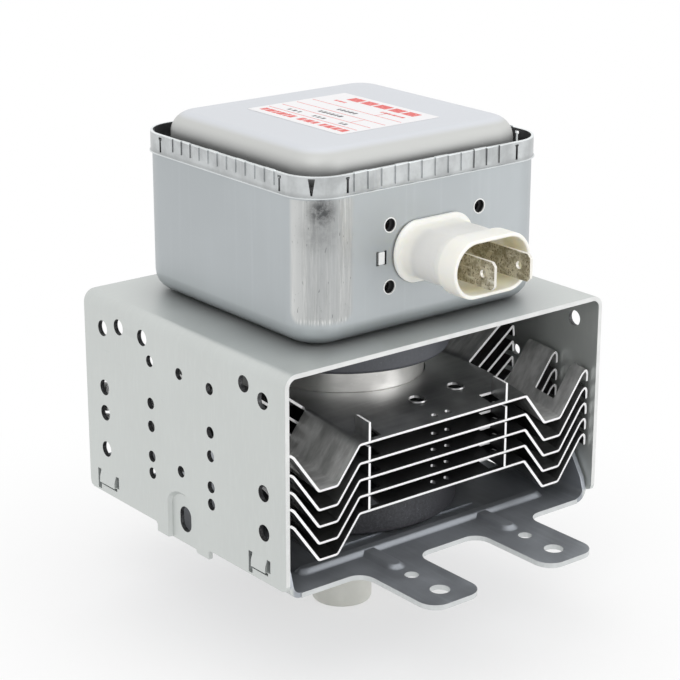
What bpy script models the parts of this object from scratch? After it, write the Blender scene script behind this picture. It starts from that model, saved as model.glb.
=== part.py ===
"""Microwave-oven magnetron: a fin-cooled vacuum tube in its steel yoke with filter box and antenna.

Metres, +Z up. The origin is the centre of the antenna's flat tip, on the tube's axis.
The front, with the capacitor socket and the open face of the fins, looks along -Y.
"""
import math

import bmesh
import bpy
from mathutils import Matrix, Vector

MM = 0.001

# Fits and facets
CLEARANCE = 0.3 * MM
OVERSHOOT = 2.0 * MM
SINK = 0.25 * MM
ROUND_STEPS = 24
MAGNET_STEPS = 32
SMALL_ROUND_STEPS = 16
HOLE_STEPS = 8
EAR_HOLE_STEPS = 12
CORNER_STEPS = 4

# Antenna and output side
ANTENNA_REACH = 26.7 * MM
ANTENNA_RADIUS = 7.5 * MM
ANTENNA_WALL = 0.8 * MM
ANTENNA_EDGE = 0.8 * MM
ANTENNA_CAP_HEIGHT = 11.0 * MM
OUTPUT_CERAMIC_WALL = 1.6 * MM
ANTENNA_LEAD_RADIUS = 0.7 * MM
ANTENNA_LEAD_TIP = 2.0 * MM
ANTENNA_LEAD_JOINT = 10.5 * MM
ANTENNA_LEAD_BEND = 6.2 * MM
OUTPUT_CUP_DEPTH = 4.4 * MM
GASKET_HEIGHT = 4.0 * MM
GASKET_WIDTH = 4.8 * MM
GASKET_ROUND = 1.2 * MM

# Lower yoke plate with its mounting ears
PLATE_SHEET = 1.2 * MM
PLATE_DEPTH = 78.4 * MM
EAR_SPACING = 35.0 * MM
EAR_WIDTH = 15.6 * MM
EAR_REACH = 24.0 * MM
EAR_CORNER = 4.5 * MM
EAR_FILLET = 4.0 * MM
MOUNT_HOLE_RADIUS = 2.3 * MM
MOUNT_HOLE_INSET = 6.5 * MM
PILOT_HOLE_RADIUS = 1.65 * MM
PILOT_HOLE_INSET = 16.1 * MM
PLATFORM_WIDTH = 41.0 * MM
PLATFORM_DEPTH = 50.2 * MM
PLATFORM_RISE = 0.3 * MM
BEAD_LENGTH = 76.0 * MM
BEAD_WIDTH = 4.4 * MM
BEAD_HEIGHT = 1.2 * MM
BEAD_SLOPE = 1.3 * MM
BEAD_SETBACK = 8.4 * MM
RIB_WIDTH = 5.4 * MM
RIB_HEIGHT = 1.0 * MM
RIB_REACH = 12.8 * MM
FLANGE_SHEET = 1.2 * MM
FLANGE_HEIGHT = 12.4 * MM
FLANGE_GAP = 24.0 * MM
FLANGE_SLOPE = 5.0 * MM
FLANGE_LIP = 1.5 * MM

# Upper yoke
YOKE_WIDTH = 95.0 * MM
YOKE_DEPTH = 80.0 * MM
YOKE_SHEET = 1.4 * MM
YOKE_BEND = 3.0 * MM
WALL_LIFT = 1.4 * MM
WALL_CORNER = 1.5 * MM
WALL_TAB_WIDTH = 21.0 * MM
WALL_TAB_DROP = 2.3 * MM
SMALL_HOLE_RADIUS = 1.4 * MM
LARGE_HOLE_RADIUS = 1.95 * MM
INNER_HOLE_OFFSET = 12.0 * MM
INNER_HOLE_LEVELS = [11.9 * MM, 16.15 * MM, 23.7 * MM, 29.4 * MM, 39.8 * MM]
CENTRE_HOLE_LEVELS = [16.1 * MM, 40.0 * MM]
OUTER_HOLE_OFFSET = 32.0 * MM
OUTER_HOLE_LEVELS = [11.8 * MM, 21.2 * MM, 42.7 * MM]
TOP_HOLE_OFFSET = 25.0 * MM
TOP_HOLE_RISE = 4.9 * MM
REAR_HOLE_LEVEL = 27.7 * MM
REAR_TOP_HOLE_OFFSET = 15.0 * MM
SLIT_WIDTH = 0.9 * MM
SLIT_TOP = 5.7 * MM
LONG_SLIT_HEIGHT = 5.2 * MM
LONG_SLIT_PLACES = [-26.7 * MM, 35.5 * MM]
SHORT_SLIT_HEIGHT = 3.2 * MM
SHORT_SLIT_PLACES = [-33.4 * MM, 28.0 * MM]
ARCH_WIDTH = 10.6 * MM
ARCH_SHOULDER = 8.0 * MM
ARCH_TOP = 10.2 * MM
ARCH_TOP_WIDTH = 4.6 * MM
ARCH_DEPTH = 1.0 * MM
ARCH_BORDER = 0.9 * MM
ARCH_SLOT_WIDTH = 4.5 * MM
ARCH_SLOT_HEIGHT = 6.3 * MM
ARCH_SLOT_LEVEL = 3.9 * MM

# Magnets
LOWER_MAGNET_RADIUS = 28.2 * MM
LOWER_MAGNET_HEIGHT = 12.0 * MM
UPPER_MAGNET_RADIUS = 25.8 * MM
UPPER_MAGNET_HEIGHT = 10.3 * MM
MAGNET_CHAMFER = 0.7 * MM

# Anode, vanes and pole pieces
ANODE_RADIUS = 19.8 * MM
ANODE_WALL = 2.5 * MM
ANODE_HEIGHT = 24.4 * MM
VANE_COUNT = 10
VANE_SHEET = 1.8 * MM
VANE_HEIGHT = 9.6 * MM
VANE_TIP_RADIUS = 4.8 * MM
STRAP_WIDTH = 1.0 * MM
STRAP_HEIGHT = 0.9 * MM
INNER_STRAP_RADIUS = 7.0 * MM
OUTER_STRAP_RADIUS = 8.6 * MM
POLE_SHEET = 1.3 * MM
POLE_HOLE_RADIUS = 6.4 * MM
POLE_DISH = 3.2 * MM
POLE_INSET = 0.4 * MM
POLE_RIM = 4.0 * MM

# Sealing shells and stem
SHELL_SHEET = 0.8 * MM
NECK_RADIUS = 11.4 * MM
STEM_NECK_RISE = 4.6 * MM
STEM_CERAMIC_HEIGHT = 7.7 * MM
STEM_LEAD_SPACING = 8.0 * MM
STEM_LEAD_RADIUS = 0.8 * MM
STEM_LEAD_PROUD = 5.0 * MM

# Cathode
HAT_RADIUS = 3.6 * MM
HAT_SHEET = 0.8 * MM
HAT_GAP = 0.4 * MM
HAT_LEAD_OFFSET = 2.5 * MM
FILAMENT_RADIUS = 1.9 * MM
FILAMENT_WIRE = 0.3 * MM
FILAMENT_TURNS = 6
FILAMENT_POINTS = 6

# Cooling fins
FIN_COUNT = 5
FIN_SHEET = 0.6 * MM
FIN_PITCH = 4.0 * MM
TOP_FIN_GAP = 4.5 * MM
TOP_FIN_SETDOWN = 5.3 * MM
FIN_DEPTH = 76.0 * MM
FIN_LEVEL_DEPTH = 35.0 * MM
FIN_SLIT = 1.0 * MM
FIN_DROOP = 2.7 * MM
FIN_DROOP_POWER = 1.6
FIN_FOLD = 25.3 * MM
VALLEY_START = 31.6 * MM
VALLEY_END = 36.8 * MM
VALLEY_DEPTH = 8.1 * MM
HOOK_RISE = 2.3 * MM
HOOK_WIDTH = 1.7 * MM
HOOK_ROUND = 0.8 * MM
HOOK_DROP = 2.9 * MM
NOTCH_START = 4.0 * MM
NOTCH_WIDTH = 6.5 * MM
NOTCH_FLOOR = 1.8 * MM
WING_REACH = 40.0 * MM
WING_RISE = 11.1 * MM
WING_LIP = 2.6 * MM
TAB_LEFT = 22.5 * MM
TAB_RIGHT = 18.9 * MM
TAB_LENGTH = 5.0 * MM
TOP_TAB_HEIGHT = 4.4 * MM
TAB_SLOT_WIDTH = 3.8 * MM
TAB_SLOT_SETBACK = 1.0 * MM
FIN_VENT_PLACES = [(0.0 * MM, 10.2 * MM), (12.7 * MM, 11.2 * MM)]
FIN_VENT_RADIUS = 2.0 * MM
FIN_PUNCH_PLACES = [(-1.4 * MM, 2.3 * MM), (2.7 * MM, 2.3 * MM)]
FIN_PUNCH_RADIUS = 0.8 * MM

# Filter box and lid
BOX_WIDTH = 70.0 * MM
BOX_DEPTH = 66.2 * MM
BOX_SHIFT = 0.6 * MM
BOX_CORNER = 9.0 * MM
BOX_BASE_ROUND = 5.0 * MM
BOX_SHEET = 0.8 * MM
BOX_WALL_HEIGHT = 33.7 * MM
RIM_OUTSET = 0.8 * MM
RIM_HEIGHT = 5.1 * MM
FLUTE_COUNT = 12
FLUTE_WIDTH = 0.9 * MM
FLUTE_DEPTH = 0.3 * MM
RIM_SLIT_INSET = 1.2 * MM
RIM_SLIT_WIDTH = 0.8 * MM
RIM_SLIT_MARGIN = 0.7 * MM
RIM_NOTCH_TOP = 1.5 * MM
RIM_NOTCH_BASE = 0.4 * MM
LID_SHEET = 0.7 * MM
LID_HEIGHT = 8.4 * MM
LID_MOAT = 3.0 * MM
LID_CORNER = 8.5 * MM
LID_SHOULDER = 5.0 * MM

# Feed-through capacitor
SOCKET_LEVEL = 18.3 * MM
SOCKET_WIDTH = 22.6 * MM
SOCKET_HEIGHT = 13.4 * MM
SOCKET_WALL = 1.15 * MM
SOCKET_REACH = 19.8 * MM
SOCKET_DEPTH = 16.0 * MM
SOCKET_STEP = 0.45 * MM
SOCKET_STEP_START = 11.5 * MM
SOCKET_STEP_LENGTH = 1.9 * MM
SOCKET_FLANGE_WIDTH = 23.7 * MM
SOCKET_FLANGE_HEIGHT = 14.3 * MM
SOCKET_FLANGE_SHEET = 0.7 * MM
SOCKET_FLANGE_FLARE = 1.0 * MM
SOCKET_NECK_INSET = 0.6 * MM
SOCKET_LIP = 0.3 * MM
CAPACITOR_BODY_LENGTH = 8.0 * MM
RIVET_HOLE_RADIUS = 1.45 * MM
RIVET_HOLE_SPACING = 26.4 * MM
RIVET_HOLE_RISE = 14.2 * MM
WINDOW_OFFSET = 15.3 * MM
WINDOW_WIDTH = 2.9 * MM
WINDOW_HEIGHT = 3.1 * MM
WINDOW_SLIT = 0.8 * MM
BACKING_WIDTH = 35.0 * MM
BACKING_HEIGHT = 21.0 * MM
BACKING_SHEET = 0.8 * MM
BACKING_CORNER = 2.0 * MM
TAB_HEIGHT = 6.35 * MM
TAB_SHEET = 0.8 * MM
TAB_SPACING = 10.5 * MM
TAB_PROUD = 6.6 * MM
TAB_CORNER = 0.7 * MM
TAB_HOLE_RADIUS = 0.85 * MM
TAB_HOLE_SETBACK = 3.6 * MM
TAB_TAIL = 3.0 * MM

# Choke coils
CHOKE_SPACING = 22.0 * MM
CHOKE_RADIUS = 3.2 * MM
CHOKE_WIRE = 0.7 * MM
CHOKE_TURNS = 7
CHOKE_POINTS = 8
CHOKE_PITCH = 2.6 * MM
CHOKE_START = 9.0 * MM
CHOKE_LEAD_SWING = 1.6 * MM
CHOKE_LEAD_BEND = 2.4 * MM
CHOKE_LEAD_GRIP = 3.0 * MM
CORE_OVERHANG = 1.0 * MM

# Levels along the axis, from the antenna tip upwards
plate_under = ANTENNA_REACH
plate_top = plate_under + PLATE_SHEET
platform_top = plate_top + PLATFORM_RISE
lower_magnet_base = platform_top + CLEARANCE
lower_magnet_top = lower_magnet_base + LOWER_MAGNET_HEIGHT
lower_shell_base = lower_magnet_top + CLEARANCE
anode_base = lower_shell_base + SHELL_SHEET + CLEARANCE
anode_top = anode_base + ANODE_HEIGHT
anode_middle = (anode_base + anode_top) / 2
upper_shell_base = anode_top + CLEARANCE
upper_magnet_base = upper_shell_base + SHELL_SHEET + CLEARANCE
upper_magnet_top = upper_magnet_base + UPPER_MAGNET_HEIGHT
yoke_ceiling = upper_magnet_top + CLEARANCE
yoke_top = yoke_ceiling + YOKE_SHEET
wall_base = plate_top + WALL_LIFT
box_base = yoke_top + CLEARANCE
box_ledge = box_base + BOX_WALL_HEIGHT
rim_top = box_ledge + RIM_HEIGHT
rim_floor = box_ledge + BOX_SHEET
lid_base = rim_floor + CLEARANCE
lid_top = lid_base + LID_HEIGHT
socket_level = box_base + SOCKET_LEVEL
stem_base = yoke_top + STEM_NECK_RISE
stem_ceramic_base = stem_base + CLEARANCE
stem_ceramic_top = stem_ceramic_base + STEM_CERAMIC_HEIGHT
top_fin_level = anode_top - TOP_FIN_SETDOWN
neck_hole_radius = NECK_RADIUS + 2 * CLEARANCE
box_front = BOX_SHIFT - BOX_DEPTH / 2


def remove_scene_objects():
    for thing in list(bpy.data.objects):
        bpy.data.objects.remove(thing, do_unlink=True)


def make_material(name, colour, roughness, metallic):
    material = bpy.data.materials.new(name)
    material.use_nodes = True
    shader = material.node_tree.nodes["Principled BSDF"]
    shader.inputs["Base Color"].default_value = (*colour, 1.0)
    shader.inputs["Roughness"].default_value = roughness
    shader.inputs["Metallic"].default_value = metallic
    return material


def finish_mesh(name, bm, material, sharp_degrees=35):
    """Turn a bmesh into a linked object with outward faces."""
    bmesh.ops.recalc_face_normals(bm, faces=bm.faces)
    if bm.calc_volume(signed=True) < 0:
        bmesh.ops.reverse_faces(bm, faces=bm.faces)
    mesh = bpy.data.meshes.new(name)
    bm.to_mesh(mesh)
    bm.free()
    mesh.shade_smooth()
    mesh.set_sharp_from_angle(angle=math.radians(sharp_degrees))
    thing = bpy.data.objects.new(name, mesh)
    bpy.context.scene.collection.objects.link(thing)
    if material:
        mesh.materials.append(material)
    return thing


def combine(target, tool, operation):
    """Join or cut the target with a tool that the viewport only outlines."""
    modifier = target.modifiers.new(operation.title() + " " + tool.name, "BOOLEAN")
    modifier.operation = operation
    modifier.object = tool
    modifier.solver = "EXACT"
    tool.hide_render = True
    tool.display_type = "WIRE"


def baked_mesh(thing, name):
    """The object's mesh with its modifiers worked in, for several objects to share."""
    graph = bpy.context.evaluated_depsgraph_get()
    mesh = bpy.data.meshes.new_from_object(thing.evaluated_get(graph))
    mesh.name = name
    return mesh


# Outlines

def arc(centre, radius, start, end, steps):
    """Points on a circular arc, both ends included, angles in degrees."""
    points = []
    for step in range(steps + 1):
        angle = math.radians(start + (end - start) * step / steps)
        points.append((centre[0] + radius * math.cos(angle), centre[1] + radius * math.sin(angle)))
    return points


def circle(centre, radius, steps):
    return arc(centre, radius, 0, 360, steps)[:-1]


def rounded_rectangle(half_x, half_y, radius, steps=CORNER_STEPS, centre=(0.0, 0.0)):
    points = []
    for quarter, (side_x, side_y) in enumerate([(1, 1), (-1, 1), (-1, -1), (1, -1)]):
        corner = (centre[0] + side_x * (half_x - radius), centre[1] + side_y * (half_y - radius))
        points += arc(corner, radius, quarter * 90, quarter * 90 + 90, steps)
    return points


def stadium(width, height, steps=8):
    return rounded_rectangle(width / 2, height / 2, height / 2 * 0.999, steps // 2)


def place(outline, axis, level):
    """Stand a flat outline in space: its plane lies across the axis at the level."""
    if axis == "X":
        return [Vector((level, u, v)) for u, v in outline]
    if axis == "Y":
        return [Vector((u, level, v)) for u, v in outline]
    return [Vector((u, v, level)) for u, v in outline]


# Solids

def add_prism(bm, outline, axis, low, high):
    """Extrude a flat outline along an axis."""
    face = bm.faces.new([bm.verts.new(point) for point in place(outline, axis, low)])
    moved = bmesh.ops.extrude_face_region(bm, geom=[face], use_keep_orig=True)
    tops = [item for item in moved["geom"] if isinstance(item, bmesh.types.BMVert)]
    step = Vector([(high - low) if axis == letter else 0.0 for letter in "XYZ"])
    bmesh.ops.translate(bm, verts=tops, vec=step)


def prism(name, outline, axis, low, high, material=None):
    bm = bmesh.new()
    add_prism(bm, outline, axis, low, high)
    return finish_mesh(name, bm, material)


def add_box(bm, low, high):
    outline = [(low[0], low[1]), (high[0], low[1]), (high[0], high[1]), (low[0], high[1])]
    add_prism(bm, outline, "Z", low[2], high[2])


def lofted(name, loops, material=None, sharp_degrees=35):
    """Skin a row of loops with equal counts and cap both ends."""
    bm = bmesh.new()
    rings = [[bm.verts.new(point) for point in loop] for loop in loops]
    count = len(rings[0])
    for lower, upper in zip(rings, rings[1:]):
        for i in range(count):
            j = (i + 1) % count
            bm.faces.new([lower[i], lower[j], upper[j], upper[i]])
    bm.faces.new(rings[0])
    bm.faces.new(rings[-1])
    return finish_mesh(name, bm, material, sharp_degrees)


def turned(name, profile, steps, material=None, sharp_degrees=35):
    """Spin a profile of radius and height round the Z axis."""
    bm = bmesh.new()
    verts = [bm.verts.new((radius, 0.0, height)) for radius, height in profile]
    edges = [bm.edges.new(pair) for pair in zip(verts, verts[1:])]
    touches_axis = profile[0][0] == 0.0 and profile[-1][0] == 0.0
    if not touches_axis:
        edges.append(bm.edges.new((verts[-1], verts[0])))
    bmesh.ops.spin(bm, geom=verts + edges, cent=(0, 0, 0), axis=(0, 0, 1),
                   angle=2 * math.pi, steps=steps, use_merge=True)
    bmesh.ops.remove_doubles(bm, verts=bm.verts, dist=0.001 * MM)
    return finish_mesh(name, bm, material, sharp_degrees)


def wire(name, points, radius, material, sides_level):
    """A round wire through the points, with filled ends."""
    curve = bpy.data.curves.new(name, "CURVE")
    curve.dimensions = "3D"
    curve.bevel_depth = radius
    curve.bevel_resolution = sides_level
    curve.use_fill_caps = True
    spline = curve.splines.new("POLY")
    spline.points.add(len(points) - 1)
    for knot, point in zip(spline.points, points):
        knot.co = (*point, 1.0)
    curve.materials.append(material)
    thing = bpy.data.objects.new(name, curve)
    bpy.context.scene.collection.objects.link(thing)
    return thing


def smooth_route(knots, steps):
    """Points along a Catmull-Rom curve through the knots."""
    knots = [Vector(knot) for knot in knots]
    padded = [2 * knots[0] - knots[1]] + knots + [2 * knots[-1] - knots[-2]]
    points = []
    for before, start, end, after in zip(padded, padded[1:], padded[2:], padded[3:]):
        for step in range(steps):
            t = step / steps
            points.append(0.5 * (2 * start + (end - before) * t
                                 + (2 * before - 5 * start + 4 * end - after) * t ** 2
                                 + (3 * start - before - 3 * end + after) * t ** 3))
    points.append(knots[-1])
    return points


# Lower yoke plate

def ear_outline_side(side):
    """The plate edge along one end, from left to right, ears included."""
    edge = PLATE_DEPTH / 2
    tip = edge + EAR_REACH
    points = []
    for middle in (-EAR_SPACING / 2, EAR_SPACING / 2):
        left = middle - EAR_WIDTH / 2
        right = middle + EAR_WIDTH / 2
        points += arc((left - EAR_FILLET, edge + EAR_FILLET), EAR_FILLET, 270, 360, 3)
        points += arc((left + EAR_CORNER, tip - EAR_CORNER), EAR_CORNER, 180, 90, 3)
        points += arc((right - EAR_CORNER, tip - EAR_CORNER), EAR_CORNER, 90, 0, 3)
        points += arc((right + EAR_FILLET, edge + EAR_FILLET), EAR_FILLET, 180, 270, 3)
    return [(x, side * y) for x, y in points]


def bead_tool(name, centre, length, width, height, across, grow, base, top):
    """A tapered bead with round ends, along X or across it."""
    outer = stadium(length + 2 * grow, width + 2 * grow)
    inner = stadium(length + 2 * grow - 2 * BEAD_SLOPE, width + 2 * grow - 2 * BEAD_SLOPE)
    if across:
        outer = [(-y, x) for x, y in outer]
        inner = [(-y, x) for x, y in inner]
    shift = Vector((centre[0], centre[1], 0.0))
    loops = [place(outer, "Z", base), place(inner, "Z", top)]
    return lofted(name, [[point + shift for point in loop] for loop in loops])


def make_lower_plate(material):
    half_width = YOKE_WIDTH / 2 - YOKE_SHEET - CLEARANCE
    edge = PLATE_DEPTH / 2
    bead_row = edge - BEAD_SETBACK
    side = half_width - FLANGE_SHEET / 2
    outline = [(-side, -edge)] + ear_outline_side(-1) + [(side, -edge)]
    outline += [(side, edge)] + ear_outline_side(1)[::-1] + [(-side, edge)]
    plate = prism("yoke_lower_plate", outline, "Z", plate_under, plate_top, material)

    bm = bmesh.new()
    half_gap = FLANGE_GAP / 2
    lip = edge - CLEARANCE
    low = plate_under + SINK
    high = plate_under + FLANGE_HEIGHT
    for end in (-1, 1):
        flange = [(half_gap, low), (lip, low), (lip, plate_top + FLANGE_LIP),
                  (lip - FLANGE_SLOPE, high), (half_gap, high)]
        for wall in (-1, 1):
            faces = sorted((wall * half_width, wall * (half_width - FLANGE_SHEET)))
            add_prism(bm, [(end * y, z) for y, z in flange], "X", *faces)
    flanges = finish_mesh("plate_flanges", bm, None)
    combine(plate, flanges, "UNION")

    bm = bmesh.new()
    add_box(bm, (-PLATFORM_WIDTH / 2, -PLATFORM_DEPTH / 2, plate_top - SINK),
            (PLATFORM_WIDTH / 2, PLATFORM_DEPTH / 2, platform_top))
    combine(plate, finish_mesh("plate_platform", bm, None), "UNION")

    for end in (-1, 1):
        row = end * bead_row
        ridge = bead_tool(f"bead_ridge_{end}", (0, row), BEAD_LENGTH, BEAD_WIDTH, BEAD_HEIGHT, False,
                          0.0, plate_top - SINK, plate_top + BEAD_HEIGHT)
        combine(plate, ridge, "UNION")
        for ear in (-1, 1):
            rib_centre = (ear * EAR_SPACING / 2, end * (bead_row + RIB_REACH / 2 - RIB_WIDTH / 4))
            rib = bead_tool(f"rib_ridge_{end}_{ear}", rib_centre, RIB_REACH + RIB_WIDTH / 2, RIB_WIDTH,
                            RIB_HEIGHT, True, 0.0, plate_top - SINK, plate_top + RIB_HEIGHT)
            combine(plate, rib, "UNION")

    bm = bmesh.new()
    add_prism(bm, circle((0, 0), neck_hole_radius, ROUND_STEPS), "Z",
              plate_under - OVERSHOOT, platform_top + OVERSHOOT)
    tip = edge + EAR_REACH
    for end in (-1, 1):
        for ear in (-1, 1):
            x = ear * EAR_SPACING / 2
            for inset, radius in ((MOUNT_HOLE_INSET, MOUNT_HOLE_RADIUS), (PILOT_HOLE_INSET, PILOT_HOLE_RADIUS)):
                add_prism(bm, circle((x, end * (tip - inset)), radius, EAR_HOLE_STEPS), "Z",
                          plate_under - OVERSHOOT, plate_top + OVERSHOOT)
    combine(plate, finish_mesh("plate_holes", bm, None), "DIFFERENCE")
    return plate


# Upper yoke

def yoke_outline():
    """The inverted U in the X-Z plane, with round bends inside and out."""
    half = YOKE_WIDTH / 2
    low = wall_base - WALL_TAB_DROP
    inner_bend = YOKE_BEND - YOKE_SHEET
    outer = [(half, low)]
    outer += arc((half - YOKE_BEND, yoke_top - YOKE_BEND), YOKE_BEND, 0, 90, 4)
    outer += [(-x, z) for x, z in outer[::-1]]
    inner = [(half - YOKE_SHEET, low)]
    inner += arc((half - YOKE_BEND, yoke_top - YOKE_BEND), inner_bend, 0, 90, 3)
    inner += [(-x, z) for x, z in inner[::-1]]
    return outer + inner[::-1]


def arch_outline(border, base):
    """The pressed arch low in each side wall, grown by a border."""
    half = ARCH_WIDTH / 2 + border
    half_top = ARCH_TOP_WIDTH / 2 + border
    return [(-half, base), (half, base), (half, wall_base + ARCH_SHOULDER + border),
            (half_top, wall_base + ARCH_TOP + border), (-half_top, wall_base + ARCH_TOP + border),
            (-half, wall_base + ARCH_SHOULDER + border)]


def wall_hole_places():
    """Centre and radius of each round hole through the side walls."""
    places = []
    for level in INNER_HOLE_LEVELS:
        places += [(side * INNER_HOLE_OFFSET, level, SMALL_HOLE_RADIUS) for side in (-1, 1)]
    places += [(0.0, level, SMALL_HOLE_RADIUS) for level in CENTRE_HOLE_LEVELS]
    for level in OUTER_HOLE_LEVELS:
        places += [(side * OUTER_HOLE_OFFSET, level, LARGE_HOLE_RADIUS) for side in (-1, 1)]
    top_level = INNER_HOLE_LEVELS[-1] + TOP_HOLE_RISE
    places += [(side * TOP_HOLE_OFFSET, top_level, LARGE_HOLE_RADIUS) for side in (-1, 1)]
    places.append((OUTER_HOLE_OFFSET, REAR_HOLE_LEVEL, LARGE_HOLE_RADIUS))
    places.append((REAR_TOP_HOLE_OFFSET, top_level, LARGE_HOLE_RADIUS))
    return places


def make_upper_yoke(material):
    half = YOKE_WIDTH / 2
    depth = YOKE_DEPTH / 2
    beyond = half + OVERSHOOT
    low = wall_base - WALL_TAB_DROP
    yoke = prism("yoke_upper", yoke_outline(), "Y", -depth, depth, material)

    # Pads that keep the sheet's thickness behind the pressed arches
    bm = bmesh.new()
    pad_base = wall_base + SINK
    for wall in (-1, 1):
        faces = sorted((wall * (half - YOKE_SHEET / 2), wall * (half - YOKE_SHEET - ARCH_DEPTH)))
        add_prism(bm, arch_outline(ARCH_BORDER, pad_base), "X", *faces)
    combine(yoke, finish_mesh("arch_pads", bm, None), "UNION")

    # Trim below the walls, which leaves a tab in the middle
    bm = bmesh.new()
    half_tab = WALL_TAB_WIDTH / 2
    below = low - OVERSHOOT
    for end in (-1, 1):
        trim = [(half_tab, below), (half_tab, low + SINK), (half_tab + WALL_TAB_DROP / 2, wall_base)]
        trim += arc((depth - WALL_CORNER, wall_base + WALL_CORNER), WALL_CORNER, 270, 360, 3)
        trim += [(depth + OVERSHOOT, wall_base + WALL_CORNER), (depth + OVERSHOOT, below)]
        add_prism(bm, [(end * y, z) for y, z in trim], "X", -beyond, beyond)
    combine(yoke, finish_mesh("wall_trim", bm, None), "DIFFERENCE")

    bm = bmesh.new()
    for wall in (-1, 1):
        faces = sorted((wall * beyond, wall * (half - ARCH_DEPTH)))
        add_prism(bm, arch_outline(0.0, below), "X", *faces)
    combine(yoke, finish_mesh("arch_presses", bm, None), "DIFFERENCE")

    bm = bmesh.new()
    for y, level, radius in wall_hole_places():
        add_prism(bm, circle((y, wall_base + level), radius, HOLE_STEPS), "X", -beyond, beyond)
    slot = stadium(ARCH_SLOT_HEIGHT, ARCH_SLOT_WIDTH)
    add_prism(bm, [(v, wall_base + ARCH_SLOT_LEVEL + u) for u, v in slot], "X", -beyond, beyond)
    slit_top = wall_base + SLIT_TOP
    for height, places in ((LONG_SLIT_HEIGHT, LONG_SLIT_PLACES), (SHORT_SLIT_HEIGHT, SHORT_SLIT_PLACES)):
        for y in places:
            add_box(bm, (-beyond, y - SLIT_WIDTH / 2, slit_top - height), (beyond, y + SLIT_WIDTH / 2, slit_top))
    add_prism(bm, circle((0, 0), neck_hole_radius, ROUND_STEPS), "Z",
              yoke_ceiling - OVERSHOOT, yoke_top + OVERSHOOT)
    combine(yoke, finish_mesh("yoke_holes", bm, None), "DIFFERENCE")
    return yoke


# Magnets, anode and seals

def make_magnet(name, radius, base, height, material):
    bore = NECK_RADIUS + 2 * CLEARANCE
    chamfer = MAGNET_CHAMFER
    profile = [(bore, base), (radius - chamfer, base), (radius, base + chamfer),
               (radius, base + height - chamfer), (radius - chamfer, base + height), (bore, base + height)]
    return turned(name, profile, MAGNET_STEPS, material)


def make_anode_cylinder(material):
    inner = ANODE_RADIUS - ANODE_WALL
    profile = [(inner, anode_base), (ANODE_RADIUS, anode_base), (ANODE_RADIUS, anode_top), (inner, anode_top)]
    return turned("anode_cylinder", profile, ROUND_STEPS, material)


def vane_outline():
    """One vane in the radius-height plane, notched top and bottom for the straps."""
    inner = VANE_TIP_RADIUS
    outer = ANODE_RADIUS - ANODE_WALL - CLEARANCE
    half = VANE_HEIGHT / 2
    notch_start = INNER_STRAP_RADIUS - CLEARANCE
    notch_end = OUTER_STRAP_RADIUS + STRAP_WIDTH + CLEARANCE
    floor = half - STRAP_HEIGHT - CLEARANCE
    lower = [(inner, -half), (notch_start, -half), (notch_start, -floor),
             (notch_end, -floor), (notch_end, -half), (outer, -half)]
    upper = [(radius, -height) for radius, height in lower[::-1]]
    return [(radius, anode_middle + height) for radius, height in lower + upper]


def make_vanes(material):
    bm = bmesh.new()
    add_prism(bm, vane_outline(), "Y", -VANE_SHEET / 2, VANE_SHEET / 2)
    first = finish_mesh("anode_vane_01", bm, material)
    for index in range(1, VANE_COUNT):
        vane = bpy.data.objects.new(f"anode_vane_{index + 1:02d}", first.data)
        vane.rotation_euler.z = 2 * math.pi * index / VANE_COUNT
        bpy.context.scene.collection.objects.link(vane)


def make_straps(material):
    half = VANE_HEIGHT / 2
    rings = {"inner": INNER_STRAP_RADIUS, "outer": OUTER_STRAP_RADIUS}
    for end, side in (("upper", 1), ("lower", -1)):
        base = anode_middle + min(side * half, side * (half - STRAP_HEIGHT))
        for place_name, radius in rings.items():
            profile = [(radius, base), (radius + STRAP_WIDTH, base),
                       (radius + STRAP_WIDTH, base + STRAP_HEIGHT), (radius, base + STRAP_HEIGHT)]
            turned(f"strap_ring_{end}_{place_name}", profile, SMALL_ROUND_STEPS, material)


def make_pole_piece(name, side, material):
    """A dished steel disc just inside one end of the anode."""
    end = ANODE_HEIGHT / 2 - POLE_INSET
    outer = ANODE_RADIUS - ANODE_WALL - CLEARANCE
    rim = outer - POLE_RIM
    profile = [(POLE_HOLE_RADIUS, end - POLE_DISH), (rim, end), (outer, end), (outer, end - POLE_SHEET),
               (rim, end - POLE_SHEET), (POLE_HOLE_RADIUS, end - POLE_DISH - POLE_SHEET)]
    profile = [(radius, anode_middle + side * height) for radius, height in profile]
    return turned(name, profile, ROUND_STEPS, material)


def make_upper_shell(material):
    base = upper_shell_base
    inner = NECK_RADIUS - SHELL_SHEET
    profile = [(inner, base), (ANODE_RADIUS, base), (ANODE_RADIUS, base + SHELL_SHEET),
               (NECK_RADIUS, base + SHELL_SHEET), (NECK_RADIUS, stem_base), (inner, stem_base)]
    return turned("upper_sealing_shell", profile, ROUND_STEPS, material)


def make_lower_shell(material):
    """Flange under the anode, neck through the magnet and plate, floor round the antenna."""
    top = lower_shell_base + SHELL_SHEET
    inner = NECK_RADIUS - SHELL_SHEET
    floor = plate_under - OUTPUT_CUP_DEPTH
    hole = ANTENNA_RADIUS - OUTPUT_CERAMIC_WALL
    profile = [(inner, top), (ANODE_RADIUS, top), (ANODE_RADIUS, lower_shell_base),
               (NECK_RADIUS, lower_shell_base), (NECK_RADIUS, floor), (hole, floor),
               (hole, floor + SHELL_SHEET), (inner, floor + SHELL_SHEET)]
    return turned("lower_sealing_shell", profile, ROUND_STEPS, material)


def make_gasket(material):
    top = plate_under - CLEARANCE
    base = top - GASKET_HEIGHT
    inner = NECK_RADIUS + CLEARANCE
    outer = inner + GASKET_WIDTH
    r = GASKET_ROUND
    profile = arc((outer - r, base + r), r, -90, 0, 2) + arc((outer - r, top - r), r, 0, 90, 2)
    profile += [(inner, top), (inner, base)]
    return turned("rf_gasket", profile, ROUND_STEPS, material)


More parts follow.
